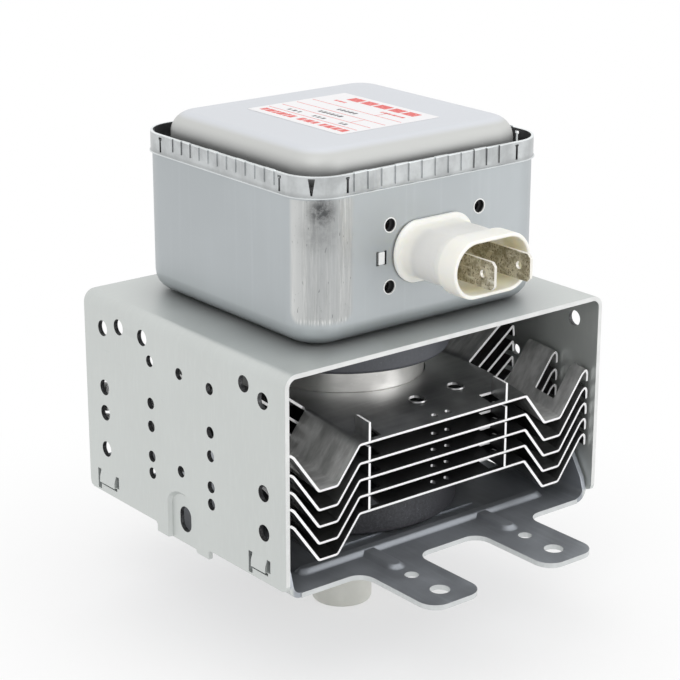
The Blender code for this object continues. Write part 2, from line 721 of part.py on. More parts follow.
def make_output_ceramic(material):
    top = plate_under - OUTPUT_CUP_DEPTH - CLEARANCE
    base = ANTENNA_CAP_HEIGHT + CLEARANCE
    inner = ANTENNA_RADIUS - OUTPUT_CERAMIC_WALL
    profile = [(inner, base), (ANTENNA_RADIUS, base), (ANTENNA_RADIUS, top), (inner, top)]
    return turned("output_ceramic", profile, ROUND_STEPS, material)


def make_antenna_cap(material):
    inner = ANTENNA_RADIUS - ANTENNA_WALL
    edge = ANTENNA_EDGE
    profile = [(0.0, 0.0)]
    profile += arc((ANTENNA_RADIUS - edge, edge), edge, -90, 0, 3)
    profile += [(ANTENNA_RADIUS, ANTENNA_CAP_HEIGHT), (inner, ANTENNA_CAP_HEIGHT),
                (inner, ANTENNA_WALL), (0.0, ANTENNA_WALL)]
    return turned("antenna_cap", profile, ROUND_STEPS, material)


def make_antenna_lead(material):
    """From under the first vane, through the pole piece's hole, down the axis."""
    vane_base = anode_middle - VANE_HEIGHT / 2
    start = vane_base - CLEARANCE - ANTENNA_LEAD_RADIUS
    knots = [(ANTENNA_LEAD_JOINT, 0, start), (ANTENNA_LEAD_BEND, 0, start), (0, 0, anode_base),
             (0, 0, ANTENNA_LEAD_TIP)]
    return wire("antenna_lead", knots, ANTENNA_LEAD_RADIUS, material, 1)


# Cathode and stem

def make_end_hats(material):
    half = VANE_HEIGHT / 2 + HAT_GAP
    hole = STEM_LEAD_RADIUS + CLEARANCE
    top = anode_middle + half
    profile = [(hole, top), (HAT_RADIUS, top), (HAT_RADIUS, top + HAT_SHEET), (hole, top + HAT_SHEET)]
    turned("cathode_hat_upper", profile, SMALL_ROUND_STEPS, material)
    base = anode_middle - half
    profile = [(0.0, base - HAT_SHEET), (HAT_RADIUS, base - HAT_SHEET), (HAT_RADIUS, base), (0.0, base)]
    turned("cathode_hat_lower", profile, SMALL_ROUND_STEPS, material)


def make_filament(material):
    reach = VANE_HEIGHT / 2 + HAT_GAP - CLEARANCE - FILAMENT_WIRE
    steps = FILAMENT_TURNS * FILAMENT_POINTS
    points = []
    for step in range(steps + 1):
        angle = 2 * math.pi * step / FILAMENT_POINTS
        height = anode_middle - reach + 2 * reach * step / steps
        points.append((FILAMENT_RADIUS * math.cos(angle), FILAMENT_RADIUS * math.sin(angle), height))
    return wire("cathode_filament", points, FILAMENT_WIRE, material, 0)


def make_filament_leads(material):
    """The centre rod and the side rod spread apart on their way to the stem."""
    side = STEM_LEAD_SPACING / 2
    top = stem_ceramic_top + STEM_LEAD_PROUD
    spread_start = upper_magnet_base
    spread_end = upper_magnet_top
    hat = VANE_HEIGHT / 2 + HAT_GAP
    starts = {"left": (-1, 0.0, anode_middle - hat + CLEARANCE),
              "right": (1, HAT_LEAD_OFFSET, anode_middle + hat + HAT_SHEET + CLEARANCE)}
    for name, (sign, offset, start) in starts.items():
        knots = [(offset, 0, start), (offset, 0, spread_start), (sign * side, 0, spread_end),
                 (sign * side, 0, top)]
        wire(f"filament_lead_{name}", knots, STEM_LEAD_RADIUS, material, 1)


def make_stem_ceramic(material):
    side = STEM_LEAD_SPACING / 2
    base = stem_ceramic_base
    step = base + STEM_CERAMIC_HEIGHT / 2
    neck = NECK_RADIUS - SHELL_SHEET
    profile = [(0.0, base), (NECK_RADIUS, base), (NECK_RADIUS, step), (neck - SHELL_SHEET, step),
               (neck - SHELL_SHEET, stem_ceramic_top), (0.0, stem_ceramic_top)]
    ceramic = turned("stem_ceramic", profile, SMALL_ROUND_STEPS, material)
    bm = bmesh.new()
    for sign in (-1, 1):
        add_prism(bm, circle((sign * side, 0), STEM_LEAD_RADIUS + CLEARANCE, HOLE_STEPS), "Z",
                  base - OVERSHOOT, stem_ceramic_top + OVERSHOOT)
    combine(ceramic, finish_mesh("stem_holes", bm, None), "DIFFERENCE")
    return ceramic


# Cooling fins

def fin_drop(y):
    """How far the fin has drooped at this distance from the middle."""
    level = FIN_LEVEL_DEPTH / 2
    reach = max(0.0, abs(y) - level) / (FIN_DEPTH / 2 - level)
    return FIN_DROOP * reach ** FIN_DROOP_POWER


def sheet_sides(path, sheet):
    """Top and bottom points of a bent sheet whose middle follows the path, mitred at each bend."""
    sides = []
    for index, point in enumerate(path):
        here = Vector(point)
        before = (here - Vector(path[index - 1])).normalized() if index else None
        after = (Vector(path[index + 1]) - here).normalized() if index + 1 < len(path) else None
        before = before or after
        after = after or before
        normal_a = Vector((-before.y, before.x))
        normal_b = Vector((-after.y, after.x))
        mitre = (normal_a + normal_b).normalized()
        reach = sheet / 2 / mitre.dot(normal_a)
        sides.append((here + mitre * reach, here - mitre * reach))
    return sides


def folded_wing():
    """The V-folded end wing to the right of the fold line, out to the hook at the wall."""
    wall = YOKE_WIDTH / 2 - YOKE_SHEET - CLEARANCE - FIN_SHEET / 2
    shoulder = Vector((wall - HOOK_WIDTH, HOOK_RISE - HOOK_ROUND))
    valley = Vector((VALLEY_END, -VALLEY_DEPTH))
    notch_floor = valley.lerp(shoulder, NOTCH_FLOOR / (shoulder.x - valley.x))
    return [(VALLEY_START, -VALLEY_DEPTH), valley, notch_floor, shoulder, (wall - HOOK_WIDTH / 3, HOOK_RISE),
            (wall, HOOK_RISE - HOOK_ROUND), (wall, HOOK_RISE - HOOK_DROP)]


def raised_wing():
    """The middle wing to the right of the fold line, bent up with a lip at its end."""
    return [(WING_REACH, WING_RISE), (WING_REACH + FIN_SHEET / 2, WING_RISE - WING_LIP)]


def fin_columns():
    """Top and bottom points of every column across the fin, for both kinds of row."""
    flat = [-FIN_FOLD, -TAB_LEFT - FIN_SHEET / 2, -TAB_LEFT + FIN_SHEET / 2,
            TAB_RIGHT - FIN_SHEET / 2, TAB_RIGHT + FIN_SHEET / 2, FIN_FOLD]
    middle = [(x, 0.0) for x in flat]
    kinds = {}
    for kind, wing in (("folded", folded_wing()), ("raised", raised_wing())):
        path = [(-x, z) for x, z in wing[::-1]] + middle + wing
        kinds[kind] = sheet_sides(path, FIN_SHEET)
    return kinds, len(flat)


def fin_rows():
    """Row positions along one half, and the kind of strip beyond each."""
    edge = FIN_DEPTH / 2
    notch = edge - NOTCH_START
    level = FIN_LEVEL_DEPTH / 2
    half = [edge, notch, edge - TAB_LENGTH, notch - NOTCH_WIDTH, level + FIN_SLIT, level]
    rows = [-y for y in half] + half[::-1]
    strips = ["folded", "notched", "notched", "folded", "flat"]
    return rows, strips + ["raised"] + strips[::-1]


def make_fin_sheet(tab_height):
    """The bent sheet as one closed body, cell by cell, with its lanced tabs pushed up."""
    kinds, flat_count = fin_columns()
    wings = {kind: (len(sides) - flat_count) // 2 for kind, sides in kinds.items()}
    rows, strips = fin_rows()
    bm = bmesh.new()
    verts = {}

    def corner(row, column, layer):
        """Column 0 is the left fold line, and wings count outwards from the fold lines."""
        y = rows[row]
        kind = "raised" if abs(y) <= FIN_LEVEL_DEPTH / 2 else "folded"
        key = (row, column, layer)
        if key not in verts:
            point = kinds[kind][column + wings[kind]][layer]
            verts[key] = bm.verts.new((point.x, y, point.y - fin_drop(y)))
        return verts[key]

    tab_faces = []
    for strip, kind in enumerate(strips):
        reach = {"folded": wings["folded"], "notched": 3, "flat": 0, "raised": wings["raised"]}[kind]
        for column in range(-reach, flat_count - 1 + reach):
            cell = [(strip, column), (strip, column + 1), (strip + 1, column + 1), (strip + 1, column)]
            top = bm.faces.new([corner(row, col, 0) for row, col in cell])
            bm.faces.new([corner(row, col, 1) for row, col in cell[::-1]])
            if column in (1, 3) and kind in ("folded", "notched"):
                tab_faces.append((top, strip))
    partners = {verts[key]: verts[key[:2] + (1,)] for key in verts if key[2] == 0}
    for edge in [edge for edge in bm.edges if edge.is_boundary and edge.verts[0] in partners]:
        a, b = edge.verts
        bm.faces.new([a, b, partners[b], partners[a]])
    bmesh.ops.recalc_face_normals(bm, faces=bm.faces)

    outermost = (0, 1, len(strips) - 2, len(strips) - 1)
    lanced = [face for face, strip in tab_faces if strip in outermost]
    raised = bmesh.ops.extrude_face_region(bm, geom=lanced)
    bmesh.ops.delete(bm, geom=lanced, context="FACES")
    for item in raised["geom"]:
        if isinstance(item, bmesh.types.BMVert):
            item.co.z = tab_height + FIN_SHEET / 2 - FIN_DROOP
    return finish_mesh("fin_sheet", bm, None)


def make_fin_mesh(name, tab_height, material):
    sheet = make_fin_sheet(tab_height)
    hub_radius = ANODE_RADIUS + CLEARANCE
    collar_depth = FIN_PITCH - FIN_SHEET / 2 - CLEARANCE
    reach = FIN_DROOP + VALLEY_DEPTH + OVERSHOOT
    collar = prism("fin_collar", circle((0, 0), hub_radius + FIN_SHEET, ROUND_STEPS), "Z", -collar_depth, 0.0)
    combine(sheet, collar, "UNION")

    bm = bmesh.new()
    edge = FIN_DEPTH / 2
    add_prism(bm, circle((0, 0), hub_radius, ROUND_STEPS), "Z", -reach, OVERSHOOT)
    for places, radius in ((FIN_VENT_PLACES, FIN_VENT_RADIUS), (FIN_PUNCH_PLACES, FIN_PUNCH_RADIUS)):
        for x, setback in places:
            add_prism(bm, circle((x, setback - edge), radius, HOLE_STEPS), "Z", -reach, OVERSHOOT)
    slot_end = edge - TAB_LENGTH
    slots = ((FIN_SHEET / 2 + SINK - TAB_LEFT, 1), (TAB_RIGHT - FIN_SHEET / 2 - SINK, -1))
    for end in (-1, 1):
        for start, direction in slots:
            left, right = sorted((start, start + direction * TAB_SLOT_WIDTH))
            near, far = sorted((end * (edge - TAB_SLOT_SETBACK), end * slot_end))
            add_box(bm, (left, near, -reach), (right, far, OVERSHOOT))
    combine(sheet, finish_mesh("fin_cuts", bm, None), "DIFFERENCE")

    mesh = baked_mesh(sheet, name)
    mesh.materials.clear()
    mesh.materials.append(material)
    for tool in [modifier.object for modifier in sheet.modifiers]:
        bpy.data.objects.remove(tool, do_unlink=True)
    bpy.data.objects.remove(sheet, do_unlink=True)
    return mesh


def make_fins(material):
    """The top fin stands free, and every lower fin's tabs reach up to the fin above."""
    lower_tab = FIN_PITCH - FIN_SHEET - CLEARANCE
    meshes = {"top": make_fin_mesh("fin_top_mesh", TOP_TAB_HEIGHT, material),
              "lower": make_fin_mesh("fin_lower_mesh", lower_tab, material)}
    level = top_fin_level
    for index in range(FIN_COUNT):
        fin = bpy.data.objects.new(f"cooling_fin_{index + 1}", meshes["lower" if index else "top"])
        fin.location.z = level
        bpy.context.scene.collection.objects.link(fin)
        level -= FIN_PITCH if index else TOP_FIN_GAP


# Filter box and lid

def box_outline(outset):
    return rounded_rectangle(BOX_WIDTH / 2 + outset, BOX_DEPTH / 2 + outset, BOX_CORNER + outset,
                             centre=(0.0, BOX_SHIFT))


def fluted_side(start, end):
    """Crimp grooves between two rim corners, walking from start towards end, clear of the slits."""
    start = Vector(start)
    side = Vector(end) - start
    along = side.normalized()
    inward = Vector((-along.y, along.x))
    middle = start + side / 2
    length = side.length - 2 * (RIM_SLIT_INSET + RIM_SLIT_WIDTH + FLUTE_WIDTH)
    pitch = length / FLUTE_COUNT
    points = []
    for index in range(FLUTE_COUNT + 1):
        centre = middle + along * (index * pitch - length / 2)
        for offset, depth in ((-FLUTE_WIDTH / 2, 0.0), (0.0, FLUTE_DEPTH), (FLUTE_WIDTH / 2, 0.0)):
            points.append(tuple(centre + along * offset + inward * depth))
    return points


def rim_outline():
    """The rim's outer outline, anticlockwise, with its crimp grooves between the corner slits."""
    plain = box_outline(RIM_OUTSET)
    per_corner = CORNER_STEPS + 1
    corners = [plain[index * per_corner:(index + 1) * per_corner] for index in range(4)]
    points = []
    for index, corner in enumerate(corners):
        following = corners[(index + 1) % 4]
        points += corner
        points += fluted_side(corner[-1], following[0])
    return points


def rounded_block(name, outset, base, top, base_round):
    """A block with the box's outline whose lower edge is rounded."""
    loops = []
    for depth, level in arc((0.0, 0.0), base_round, 270, 180, CORNER_STEPS - 1):
        loops.append(place(box_outline(outset - base_round - depth), "Z", base + base_round + level))
    loops.append(place(box_outline(outset), "Z", top))
    return lofted(name, loops)


def make_filter_box(material):
    box = rounded_block("filter_box", 0.0, box_base, box_ledge + BOX_SHEET / 2, BOX_BASE_ROUND)
    box.data.materials.append(material)
    rim = prism("box_rim", rim_outline(), "Z", box_ledge, rim_top)
    combine(box, rim, "UNION")
    cavity = rounded_block("box_cavity", -BOX_SHEET, box_base + BOX_SHEET, rim_top + OVERSHOOT,
                           BOX_BASE_ROUND - BOX_SHEET)
    combine(box, cavity, "DIFFERENCE")
    rim_cavity = prism("rim_cavity", box_outline(RIM_OUTSET - BOX_SHEET), "Z", rim_floor, rim_top + OVERSHOOT)
    combine(box, rim_cavity, "DIFFERENCE")

    # Openings in the floor and the front wall
    bm = bmesh.new()
    add_prism(bm, circle((0, 0), neck_hole_radius, ROUND_STEPS), "Z", box_base - OVERSHOOT,
              box_base + BOX_SHEET + OVERSHOOT)
    front = (box_front - OVERSHOOT, box_front + BOX_SHEET + OVERSHOOT)
    neck = stadium(socket_neck_width() + 2 * CLEARANCE, socket_neck_height() + 2 * CLEARANCE)
    add_prism(bm, [(x, socket_level + z) for x, z in neck], "Y", *front)
    for x, z in rivet_places():
        add_prism(bm, circle((x, z), RIVET_HOLE_RADIUS, HOLE_STEPS), "Y", *front)
    for side in (-1, 1):
        x = -WINDOW_OFFSET + side * (WINDOW_WIDTH - WINDOW_SLIT) / 2
        add_box(bm, (x - WINDOW_SLIT / 2, front[0], socket_level - WINDOW_HEIGHT / 2),
                (x + WINDOW_SLIT / 2, front[1], socket_level + WINDOW_HEIGHT / 2))
    combine(box, finish_mesh("box_openings", bm, None), "DIFFERENCE")
    combine(box, make_rim_cuts(), "DIFFERENCE")
    return box


def make_rim_cuts():
    """Eight narrow slits beside the corners and a V notch at each corner."""
    bm = bmesh.new()
    low = box_ledge + RIM_SLIT_MARGIN
    high = rim_top - RIM_SLIT_MARGIN
    half_x = BOX_WIDTH / 2
    half_y = BOX_DEPTH / 2
    reach = RIM_OUTSET + OVERSHOOT
    half_slit = RIM_SLIT_WIDTH / 2
    inset = BOX_CORNER + RIM_SLIT_INSET
    for a in (-1, 1):
        for b in (-1, 1):
            x = a * (half_x - inset)
            near, far = sorted((BOX_SHIFT + b * (half_y - BOX_SHEET), BOX_SHIFT + b * (half_y + reach)))
            add_box(bm, (x - half_slit, near, low), (x + half_slit, far, high))
            y = BOX_SHIFT + b * (half_y - inset)
            near, far = sorted((a * (half_x - BOX_SHEET), a * (half_x + reach)))
            add_box(bm, (near, y - half_slit, low), (far, y + half_slit, high))
    notch = [(-RIM_NOTCH_BASE / 2, low), (RIM_NOTCH_BASE / 2, low), (RIM_NOTCH_TOP / 2, high),
             (-RIM_NOTCH_TOP / 2, high)]
    radius = BOX_CORNER + reach
    for a in (-1, 1):
        for b in (-1, 1):
            first = len(bm.verts)
            add_prism(bm, notch, "Y", BOX_CORNER / 2, radius)
            bm.verts.ensure_lookup_table()
            turn = Matrix.Rotation(math.atan2(b, a) - math.pi / 2, 4, "Z")
            centre = Vector((a * (half_x - BOX_CORNER), BOX_SHIFT + b * (half_y - BOX_CORNER), 0.0))
            bmesh.ops.transform(bm, matrix=Matrix.Translation(centre) @ turn, verts=bm.verts[first:])
    return finish_mesh("rim_cuts", bm, None)


def lid_loop(inset, corner, level):
    edge = BOX_WIDTH / 2 - CLEARANCE - inset
    side = BOX_DEPTH / 2 - CLEARANCE - inset
    return place(rounded_rectangle(edge, side, corner, centre=(0.0, BOX_SHIFT)), "Z", level)


def make_lid(material):
    """A pressed pillow standing in a shallow moat, one sheet thick."""
    edge_corner = BOX_CORNER - CLEARANCE
    flange_top = lid_base + LID_SHEET
    loops = []
    for sheet in (0.0, LID_SHEET):
        top = lid_top - sheet
        radius = LID_SHOULDER - sheet
        wall = LID_MOAT + sheet
        shoulder = []
        for depth, rise in arc((0.0, 0.0), radius, 90, 180, CORNER_STEPS - 1):
            inset = wall + radius + depth
            corner = max(LID_CORNER - sheet - radius - depth, 2 * LID_SHEET)
            shoulder.append(lid_loop(inset, corner, top - radius + rise))
        foot = lid_loop(wall, LID_CORNER - sheet, flange_top - sheet)
        loops.append(shoulder + [foot])
    outside, inside = loops
    rim = [lid_loop(0.0, edge_corner, flange_top), lid_loop(0.0, edge_corner, lid_base)]
    return lofted("filter_box_lid", outside + rim + inside[::-1], material, 50)


# Capacitor

def socket_neck_width():
    return SOCKET_WIDTH - 2 * SOCKET_STEP - 2 * SOCKET_NECK_INSET


def socket_neck_height():
    return SOCKET_HEIGHT - 2 * SOCKET_STEP - 2 * SOCKET_NECK_INSET


def rivet_places():
    places = []
    for a in (-1, 1):
        for b in (-1, 1):
            places.append((a * RIVET_HOLE_SPACING / 2, socket_level + b * RIVET_HOLE_RISE / 2))
    return places


def socket_loop(width, height, y):
    return place([(x, socket_level + z) for x, z in stadium(width, height, 8)], "Y", y)


def make_capacitor_housing(material):
    seat = box_front - CLEARANCE
    mouth = box_front - SOCKET_REACH
    rear = box_front + BOX_SHEET + CLEARANCE + BACKING_SHEET + CAPACITOR_BODY_LENGTH
    floor = mouth + SOCKET_DEPTH
    neck = (socket_neck_width(), socket_neck_height())
    slim = (SOCKET_WIDTH - 2 * SOCKET_STEP, SOCKET_HEIGHT - 2 * SOCKET_STEP)
    flange = (SOCKET_FLANGE_WIDTH, SOCKET_FLANGE_HEIGHT)
    full = (SOCKET_WIDTH, SOCKET_HEIGHT)
    bore = (SOCKET_WIDTH - 2 * SOCKET_WALL, SOCKET_HEIGHT - 2 * SOCKET_WALL)
    lip = SOCKET_LIP
    flange_face = seat - SOCKET_FLANGE_SHEET
    step = seat - SOCKET_STEP_START
    sections = [(neck, rear), (neck, seat), (flange, seat), (flange, flange_face),
                (slim, flange_face - SOCKET_FLANGE_FLARE), (slim, step), (full, step - SOCKET_STEP_LENGTH),
                (full, mouth + lip), ((full[0] - 2 * lip, full[1] - 2 * lip), mouth), (bore, mouth), (bore, floor)]
    housing = lofted("capacitor_housing", [socket_loop(*size, y) for size, y in sections], material, 50)
    bm = bmesh.new()
    half_tall = TAB_HEIGHT / 2 + CLEARANCE
    half_thin = TAB_SHEET / 2 + CLEARANCE
    for side in (-1, 1):
        x = side * TAB_SPACING / 2
        add_box(bm, (x - half_thin, floor - OVERSHOOT, socket_level - half_tall),
                (x + half_thin, rear + OVERSHOOT, socket_level + half_tall))
    combine(housing, finish_mesh("tab_slots", bm, None), "DIFFERENCE")
    return housing


def make_backing_plate(material):
    near = box_front + BOX_SHEET + CLEARANCE
    outline = rounded_rectangle(BACKING_WIDTH / 2, BACKING_HEIGHT / 2, BACKING_CORNER, 2, (0.0, socket_level))
    plate = prism("capacitor_backing_plate", outline, "Y", near, near + BACKING_SHEET, material)
    bm = bmesh.new()
    through = (near - OVERSHOOT, near + BACKING_SHEET + OVERSHOOT)
    neck = stadium(socket_neck_width() + 2 * CLEARANCE, socket_neck_height() + 2 * CLEARANCE)
    add_prism(bm, [(x, socket_level + z) for x, z in neck], "Y", *through)
    for x, z in rivet_places():
        add_prism(bm, circle((x, z), RIVET_HOLE_RADIUS, HOLE_STEPS), "Y", *through)
    combine(plate, finish_mesh("backing_openings", bm, None), "DIFFERENCE")
    return plate


def tab_ends():
    """Front and rear ends of the connector tabs."""
    rear = box_front + BOX_SHEET + CLEARANCE + BACKING_SHEET + CAPACITOR_BODY_LENGTH
    return box_front - SOCKET_REACH - TAB_PROUD, rear + TAB_TAIL


def make_connector_tabs(material):
    front, rear = tab_ends()
    half = TAB_HEIGHT / 2
    low = socket_level - half
    high = socket_level + half
    cut = TAB_CORNER
    outline = [(front, low + cut), (front + cut, low), (rear, low), (rear, high), (front + cut, high),
               (front, high - cut)]
    for name, side in (("left", -1), ("right", 1)):
        x = side * TAB_SPACING / 2
        faces = (x - TAB_SHEET / 2, x + TAB_SHEET / 2)
        tab = prism(f"terminal_tab_{name}", outline, "X", *faces, material)
        hole = circle((front + TAB_HOLE_SETBACK, socket_level), TAB_HOLE_RADIUS, HOLE_STEPS)
        tool = prism(f"tab_hole_{name}", hole, "X", faces[0] - OVERSHOOT, faces[1] + OVERSHOOT)
        combine(tab, tool, "DIFFERENCE")


# Choke coils

def choke_helix(side):
    """The coil's own turns, from the capacitor end to the stem end."""
    points = []
    start = box_front + BOX_SHEET + CLEARANCE + BACKING_SHEET + CAPACITOR_BODY_LENGTH + CHOKE_START
    for step in range(CHOKE_TURNS * CHOKE_POINTS + 1):
        turn = step / CHOKE_POINTS
        angle = 2 * math.pi * turn - math.pi / 2
        x = side * (CHOKE_SPACING / 2 + CHOKE_RADIUS * math.cos(angle))
        points.append(Vector((x, start + CHOKE_PITCH * turn, socket_level + CHOKE_RADIUS * math.sin(angle))))
    return points


def make_chokes(coil_material, core_material):
    tab_rear = tab_ends()[1]
    beside_tab = TAB_SPACING / 2 + TAB_SHEET / 2 + CLEARANCE + CHOKE_WIRE
    beside_lead = STEM_LEAD_RADIUS + CHOKE_WIRE + CLEARANCE
    lead_top = stem_ceramic_top + STEM_LEAD_PROUD
    for name, side in (("left", -1), ("right", 1)):
        turns = choke_helix(side)
        first = turns[0]
        last = turns[-1]
        low = first.z
        front = [(side * beside_tab, tab_rear - TAB_TAIL + 2 * CHOKE_WIRE, socket_level),
                 (side * beside_tab, tab_rear, socket_level),
                 (side * (beside_tab + CHOKE_LEAD_SWING), tab_rear + CHOKE_LEAD_BEND,
                  socket_level - CHOKE_LEAD_SWING),
                 (first.x - side * CHOKE_LEAD_BEND, first.y - CHOKE_LEAD_BEND / 2, low), tuple(first)]
        rear = [tuple(last), (last.x - side * CHOKE_LEAD_BEND, last.y + CHOKE_LEAD_BEND / 4, low),
                (side * (STEM_LEAD_SPACING / 2 + CHOKE_LEAD_SWING), beside_lead + 1.5 * CHOKE_LEAD_BEND,
                 low - CHOKE_LEAD_SWING / 2),
                (side * STEM_LEAD_SPACING / 2, beside_lead, lead_top - CHOKE_LEAD_GRIP),
                (side * STEM_LEAD_SPACING / 2, beside_lead, lead_top)]
        route = smooth_route(front, 3)[:-1] + turns + smooth_route(rear, 3)[1:]
        wire(f"choke_coil_{name}", route, CHOKE_WIRE, coil_material, 0)
        core_radius = CHOKE_RADIUS - CHOKE_WIRE - CLEARANCE
        outline = circle((side * CHOKE_SPACING / 2, socket_level), core_radius, HOLE_STEPS)
        prism(f"ferrite_core_{name}", outline, "Y", first.y - CORE_OVERHANG, last.y + CORE_OVERHANG, core_material)


def make_magnetron():
    zinc = make_material("zinc_steel", (0.62, 0.64, 0.64), 0.38, 1.0)
    box_steel = make_material("filter_box_steel", (0.60, 0.62, 0.64), 0.34, 1.0)
    aluminium = make_material("fin_aluminium", (0.78, 0.79, 0.80), 0.28, 1.0)
    ferrite = make_material("ferrite_magnet", (0.09, 0.09, 0.095), 0.62, 0.0)
    copper = make_material("anode_copper", (0.80, 0.44, 0.30), 0.30, 1.0)
    shell_steel = make_material("shell_steel", (0.70, 0.69, 0.66), 0.22, 1.0)
    pole_iron = make_material("pole_iron", (0.45, 0.45, 0.46), 0.40, 1.0)
    ceramic = make_material("alumina_ceramic", (0.86, 0.82, 0.78), 0.45, 0.0)
    cap_cream = make_material("antenna_cream", (0.82, 0.82, 0.76), 0.42, 0.0)
    plastic = make_material("socket_plastic", (0.84, 0.82, 0.74), 0.40, 0.0)
    tin = make_material("terminal_tin", (0.52, 0.50, 0.42), 0.42, 1.0)
    enamel = make_material("coil_enamel", (0.62, 0.28, 0.14), 0.30, 0.6)
    core_ferrite = make_material("core_ferrite", (0.07, 0.07, 0.07), 0.55, 0.0)
    tungsten = make_material("cathode_metal", (0.34, 0.34, 0.35), 0.45, 1.0)
    mesh_wire = make_material("gasket_mesh", (0.60, 0.58, 0.54), 0.45, 1.0)

    make_upper_yoke(zinc)
    make_lower_plate(zinc)
    make_filter_box(box_steel)
    make_lid(box_steel)
    make_capacitor_housing(plastic)
    make_backing_plate(box_steel)
    make_connector_tabs(tin)
    make_chokes(enamel, core_ferrite)
    make_magnet("lower_magnet", LOWER_MAGNET_RADIUS, lower_magnet_base, LOWER_MAGNET_HEIGHT, ferrite)
    make_magnet("upper_magnet", UPPER_MAGNET_RADIUS, upper_magnet_base, UPPER_MAGNET_HEIGHT, ferrite)
    make_anode_cylinder(shell_steel)
    make_vanes(copper)
    make_straps(copper)
    make_pole_piece("pole_piece_upper", 1, pole_iron)
    make_pole_piece("pole_piece_lower", -1, pole_iron)
    make_upper_shell(shell_steel)
    make_lower_shell(shell_steel)
    make_stem_ceramic(ceramic)
    make_filament_leads(tungsten)
    make_end_hats(tungsten)
    make_filament(tungsten)
    make_output_ceramic(ceramic)
    make_antenna_cap(cap_cream)
    make_antenna_lead(copper)
    make_gasket(mesh_wire)
    make_fins(aluminium)


remove_scene_objects()
make_magnetron()
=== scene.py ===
import math

import bmesh
import bpy
from mathutils import Matrix, Vector


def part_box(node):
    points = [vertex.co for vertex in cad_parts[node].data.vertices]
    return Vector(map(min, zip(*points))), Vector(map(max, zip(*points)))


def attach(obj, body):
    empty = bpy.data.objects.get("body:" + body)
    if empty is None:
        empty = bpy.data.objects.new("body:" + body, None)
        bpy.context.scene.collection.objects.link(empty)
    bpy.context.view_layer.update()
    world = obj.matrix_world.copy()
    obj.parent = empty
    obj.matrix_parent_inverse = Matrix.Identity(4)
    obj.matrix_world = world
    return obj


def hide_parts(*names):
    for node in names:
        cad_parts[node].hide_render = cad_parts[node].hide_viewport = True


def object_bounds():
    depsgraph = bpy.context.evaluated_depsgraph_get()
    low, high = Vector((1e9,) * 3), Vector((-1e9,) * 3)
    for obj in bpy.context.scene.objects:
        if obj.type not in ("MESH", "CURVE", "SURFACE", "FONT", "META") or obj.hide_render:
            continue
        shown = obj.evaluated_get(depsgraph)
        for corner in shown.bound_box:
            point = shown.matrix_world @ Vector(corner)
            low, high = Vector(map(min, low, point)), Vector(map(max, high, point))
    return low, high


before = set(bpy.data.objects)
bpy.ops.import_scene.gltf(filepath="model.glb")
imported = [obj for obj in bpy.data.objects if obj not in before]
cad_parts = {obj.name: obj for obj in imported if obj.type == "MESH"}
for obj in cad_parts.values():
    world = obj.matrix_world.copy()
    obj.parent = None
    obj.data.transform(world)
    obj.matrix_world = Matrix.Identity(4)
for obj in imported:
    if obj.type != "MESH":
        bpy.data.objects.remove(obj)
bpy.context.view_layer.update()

MM = 0.001
CLEAR = 0.3 * MM

# Fin folds, the same as the solids
FIN_SHEET = 0.6 * MM
FIN_HALF_DEPTH = 38.0 * MM
FIN_LEVEL = 17.5 * MM
FIN_FOLDED = 18.5 * MM
FIN_DROOP = 2.7 * MM
FIN_FOLD = 25.3 * MM
NOTCH_FRONT = 34.0 * MM
NOTCH_BACK = 27.5 * MM
TAB_LEFT = -22.5 * MM
TAB_RIGHT = 18.9 * MM
TAB_BACK = 33.0 * MM

# Box, lid and socket
BOX_SHIFT = 0.6 * MM
BOX_HALF = (35.0 * MM, 33.1 * MM)
SOCKET_FRONT = -32.5 * MM
SOCKET_LEVEL = 98.3 * MM
SOCKET_HOLLOW = (5.78 * MM, 5.82 * MM)
# Heights over which the box's foot is darkened as painted shade
BOX_HEEL_SHADE = (80.2 * MM, 83.4 * MM)
RIM_FOOT = 114.05 * MM
RIM_TOP = 118.75 * MM

# The burnished band down the box's near corner, and the dark rub on it
BAND_FOOT = 88.3 * MM
BAND_HALF = 6.6 * MM
RUB_PLACE = (-30.6 * MM, -31.2 * MM, 111.4 * MM)
RUB_TAIL = (-30.9 * MM, -31.0 * MM, 106.0 * MM)


# Building helpers

def picked(bm, test):
    """Edges whose two ends both pass the test."""
    return [edge for edge in bm.edges if all(test(vert.co) for vert in edge.verts)]


def run(edge, letter):
    """How far an edge goes along one axis."""
    first, last = edge.verts
    return abs(getattr(first.co, letter) - getattr(last.co, letter))


def new_ones(drawn, kind):
    """What an extrusion has just made, of one kind."""
    return [item for item in drawn["geom"] if isinstance(item, kind)]


def rounded(bm, edges, radius, segments):
    bmesh.ops.bevel(bm, geom=edges, offset=radius, offset_type="OFFSET", affect="EDGES",
                    segments=segments, profile=0.5, material=-1)


def block(low, high):
    """A cube stretched between two corners."""
    bm = bmesh.new()
    bmesh.ops.create_cube(bm, size=1.0)
    size = Vector(high) - Vector(low)
    bmesh.ops.scale(bm, vec=size, verts=bm.verts)
    bmesh.ops.translate(bm, vec=(Vector(high) + Vector(low)) / 2, verts=bm.verts)
    return bm


def slab(points, axis, low, high):
    """A flat shape of a few corners, drawn out along an axis."""
    bm = bmesh.new()
    order = {"X": lambda u, v: (low, u, v), "Y": lambda u, v: (u, low, v), "Z": lambda u, v: (u, v, low)}[axis]
    face = bm.faces.new([bm.verts.new(order(u, v)) for u, v in points])
    drawn = bmesh.ops.extrude_face_region(bm, geom=[face], use_keep_orig=True)
    ends = new_ones(drawn, bmesh.types.BMVert)
    bmesh.ops.translate(bm, verts=ends, vec=[(high - low) if axis == letter else 0.0 for letter in "XYZ"])
    bmesh.ops.recalc_face_normals(bm, faces=bm.faces)
    return bm


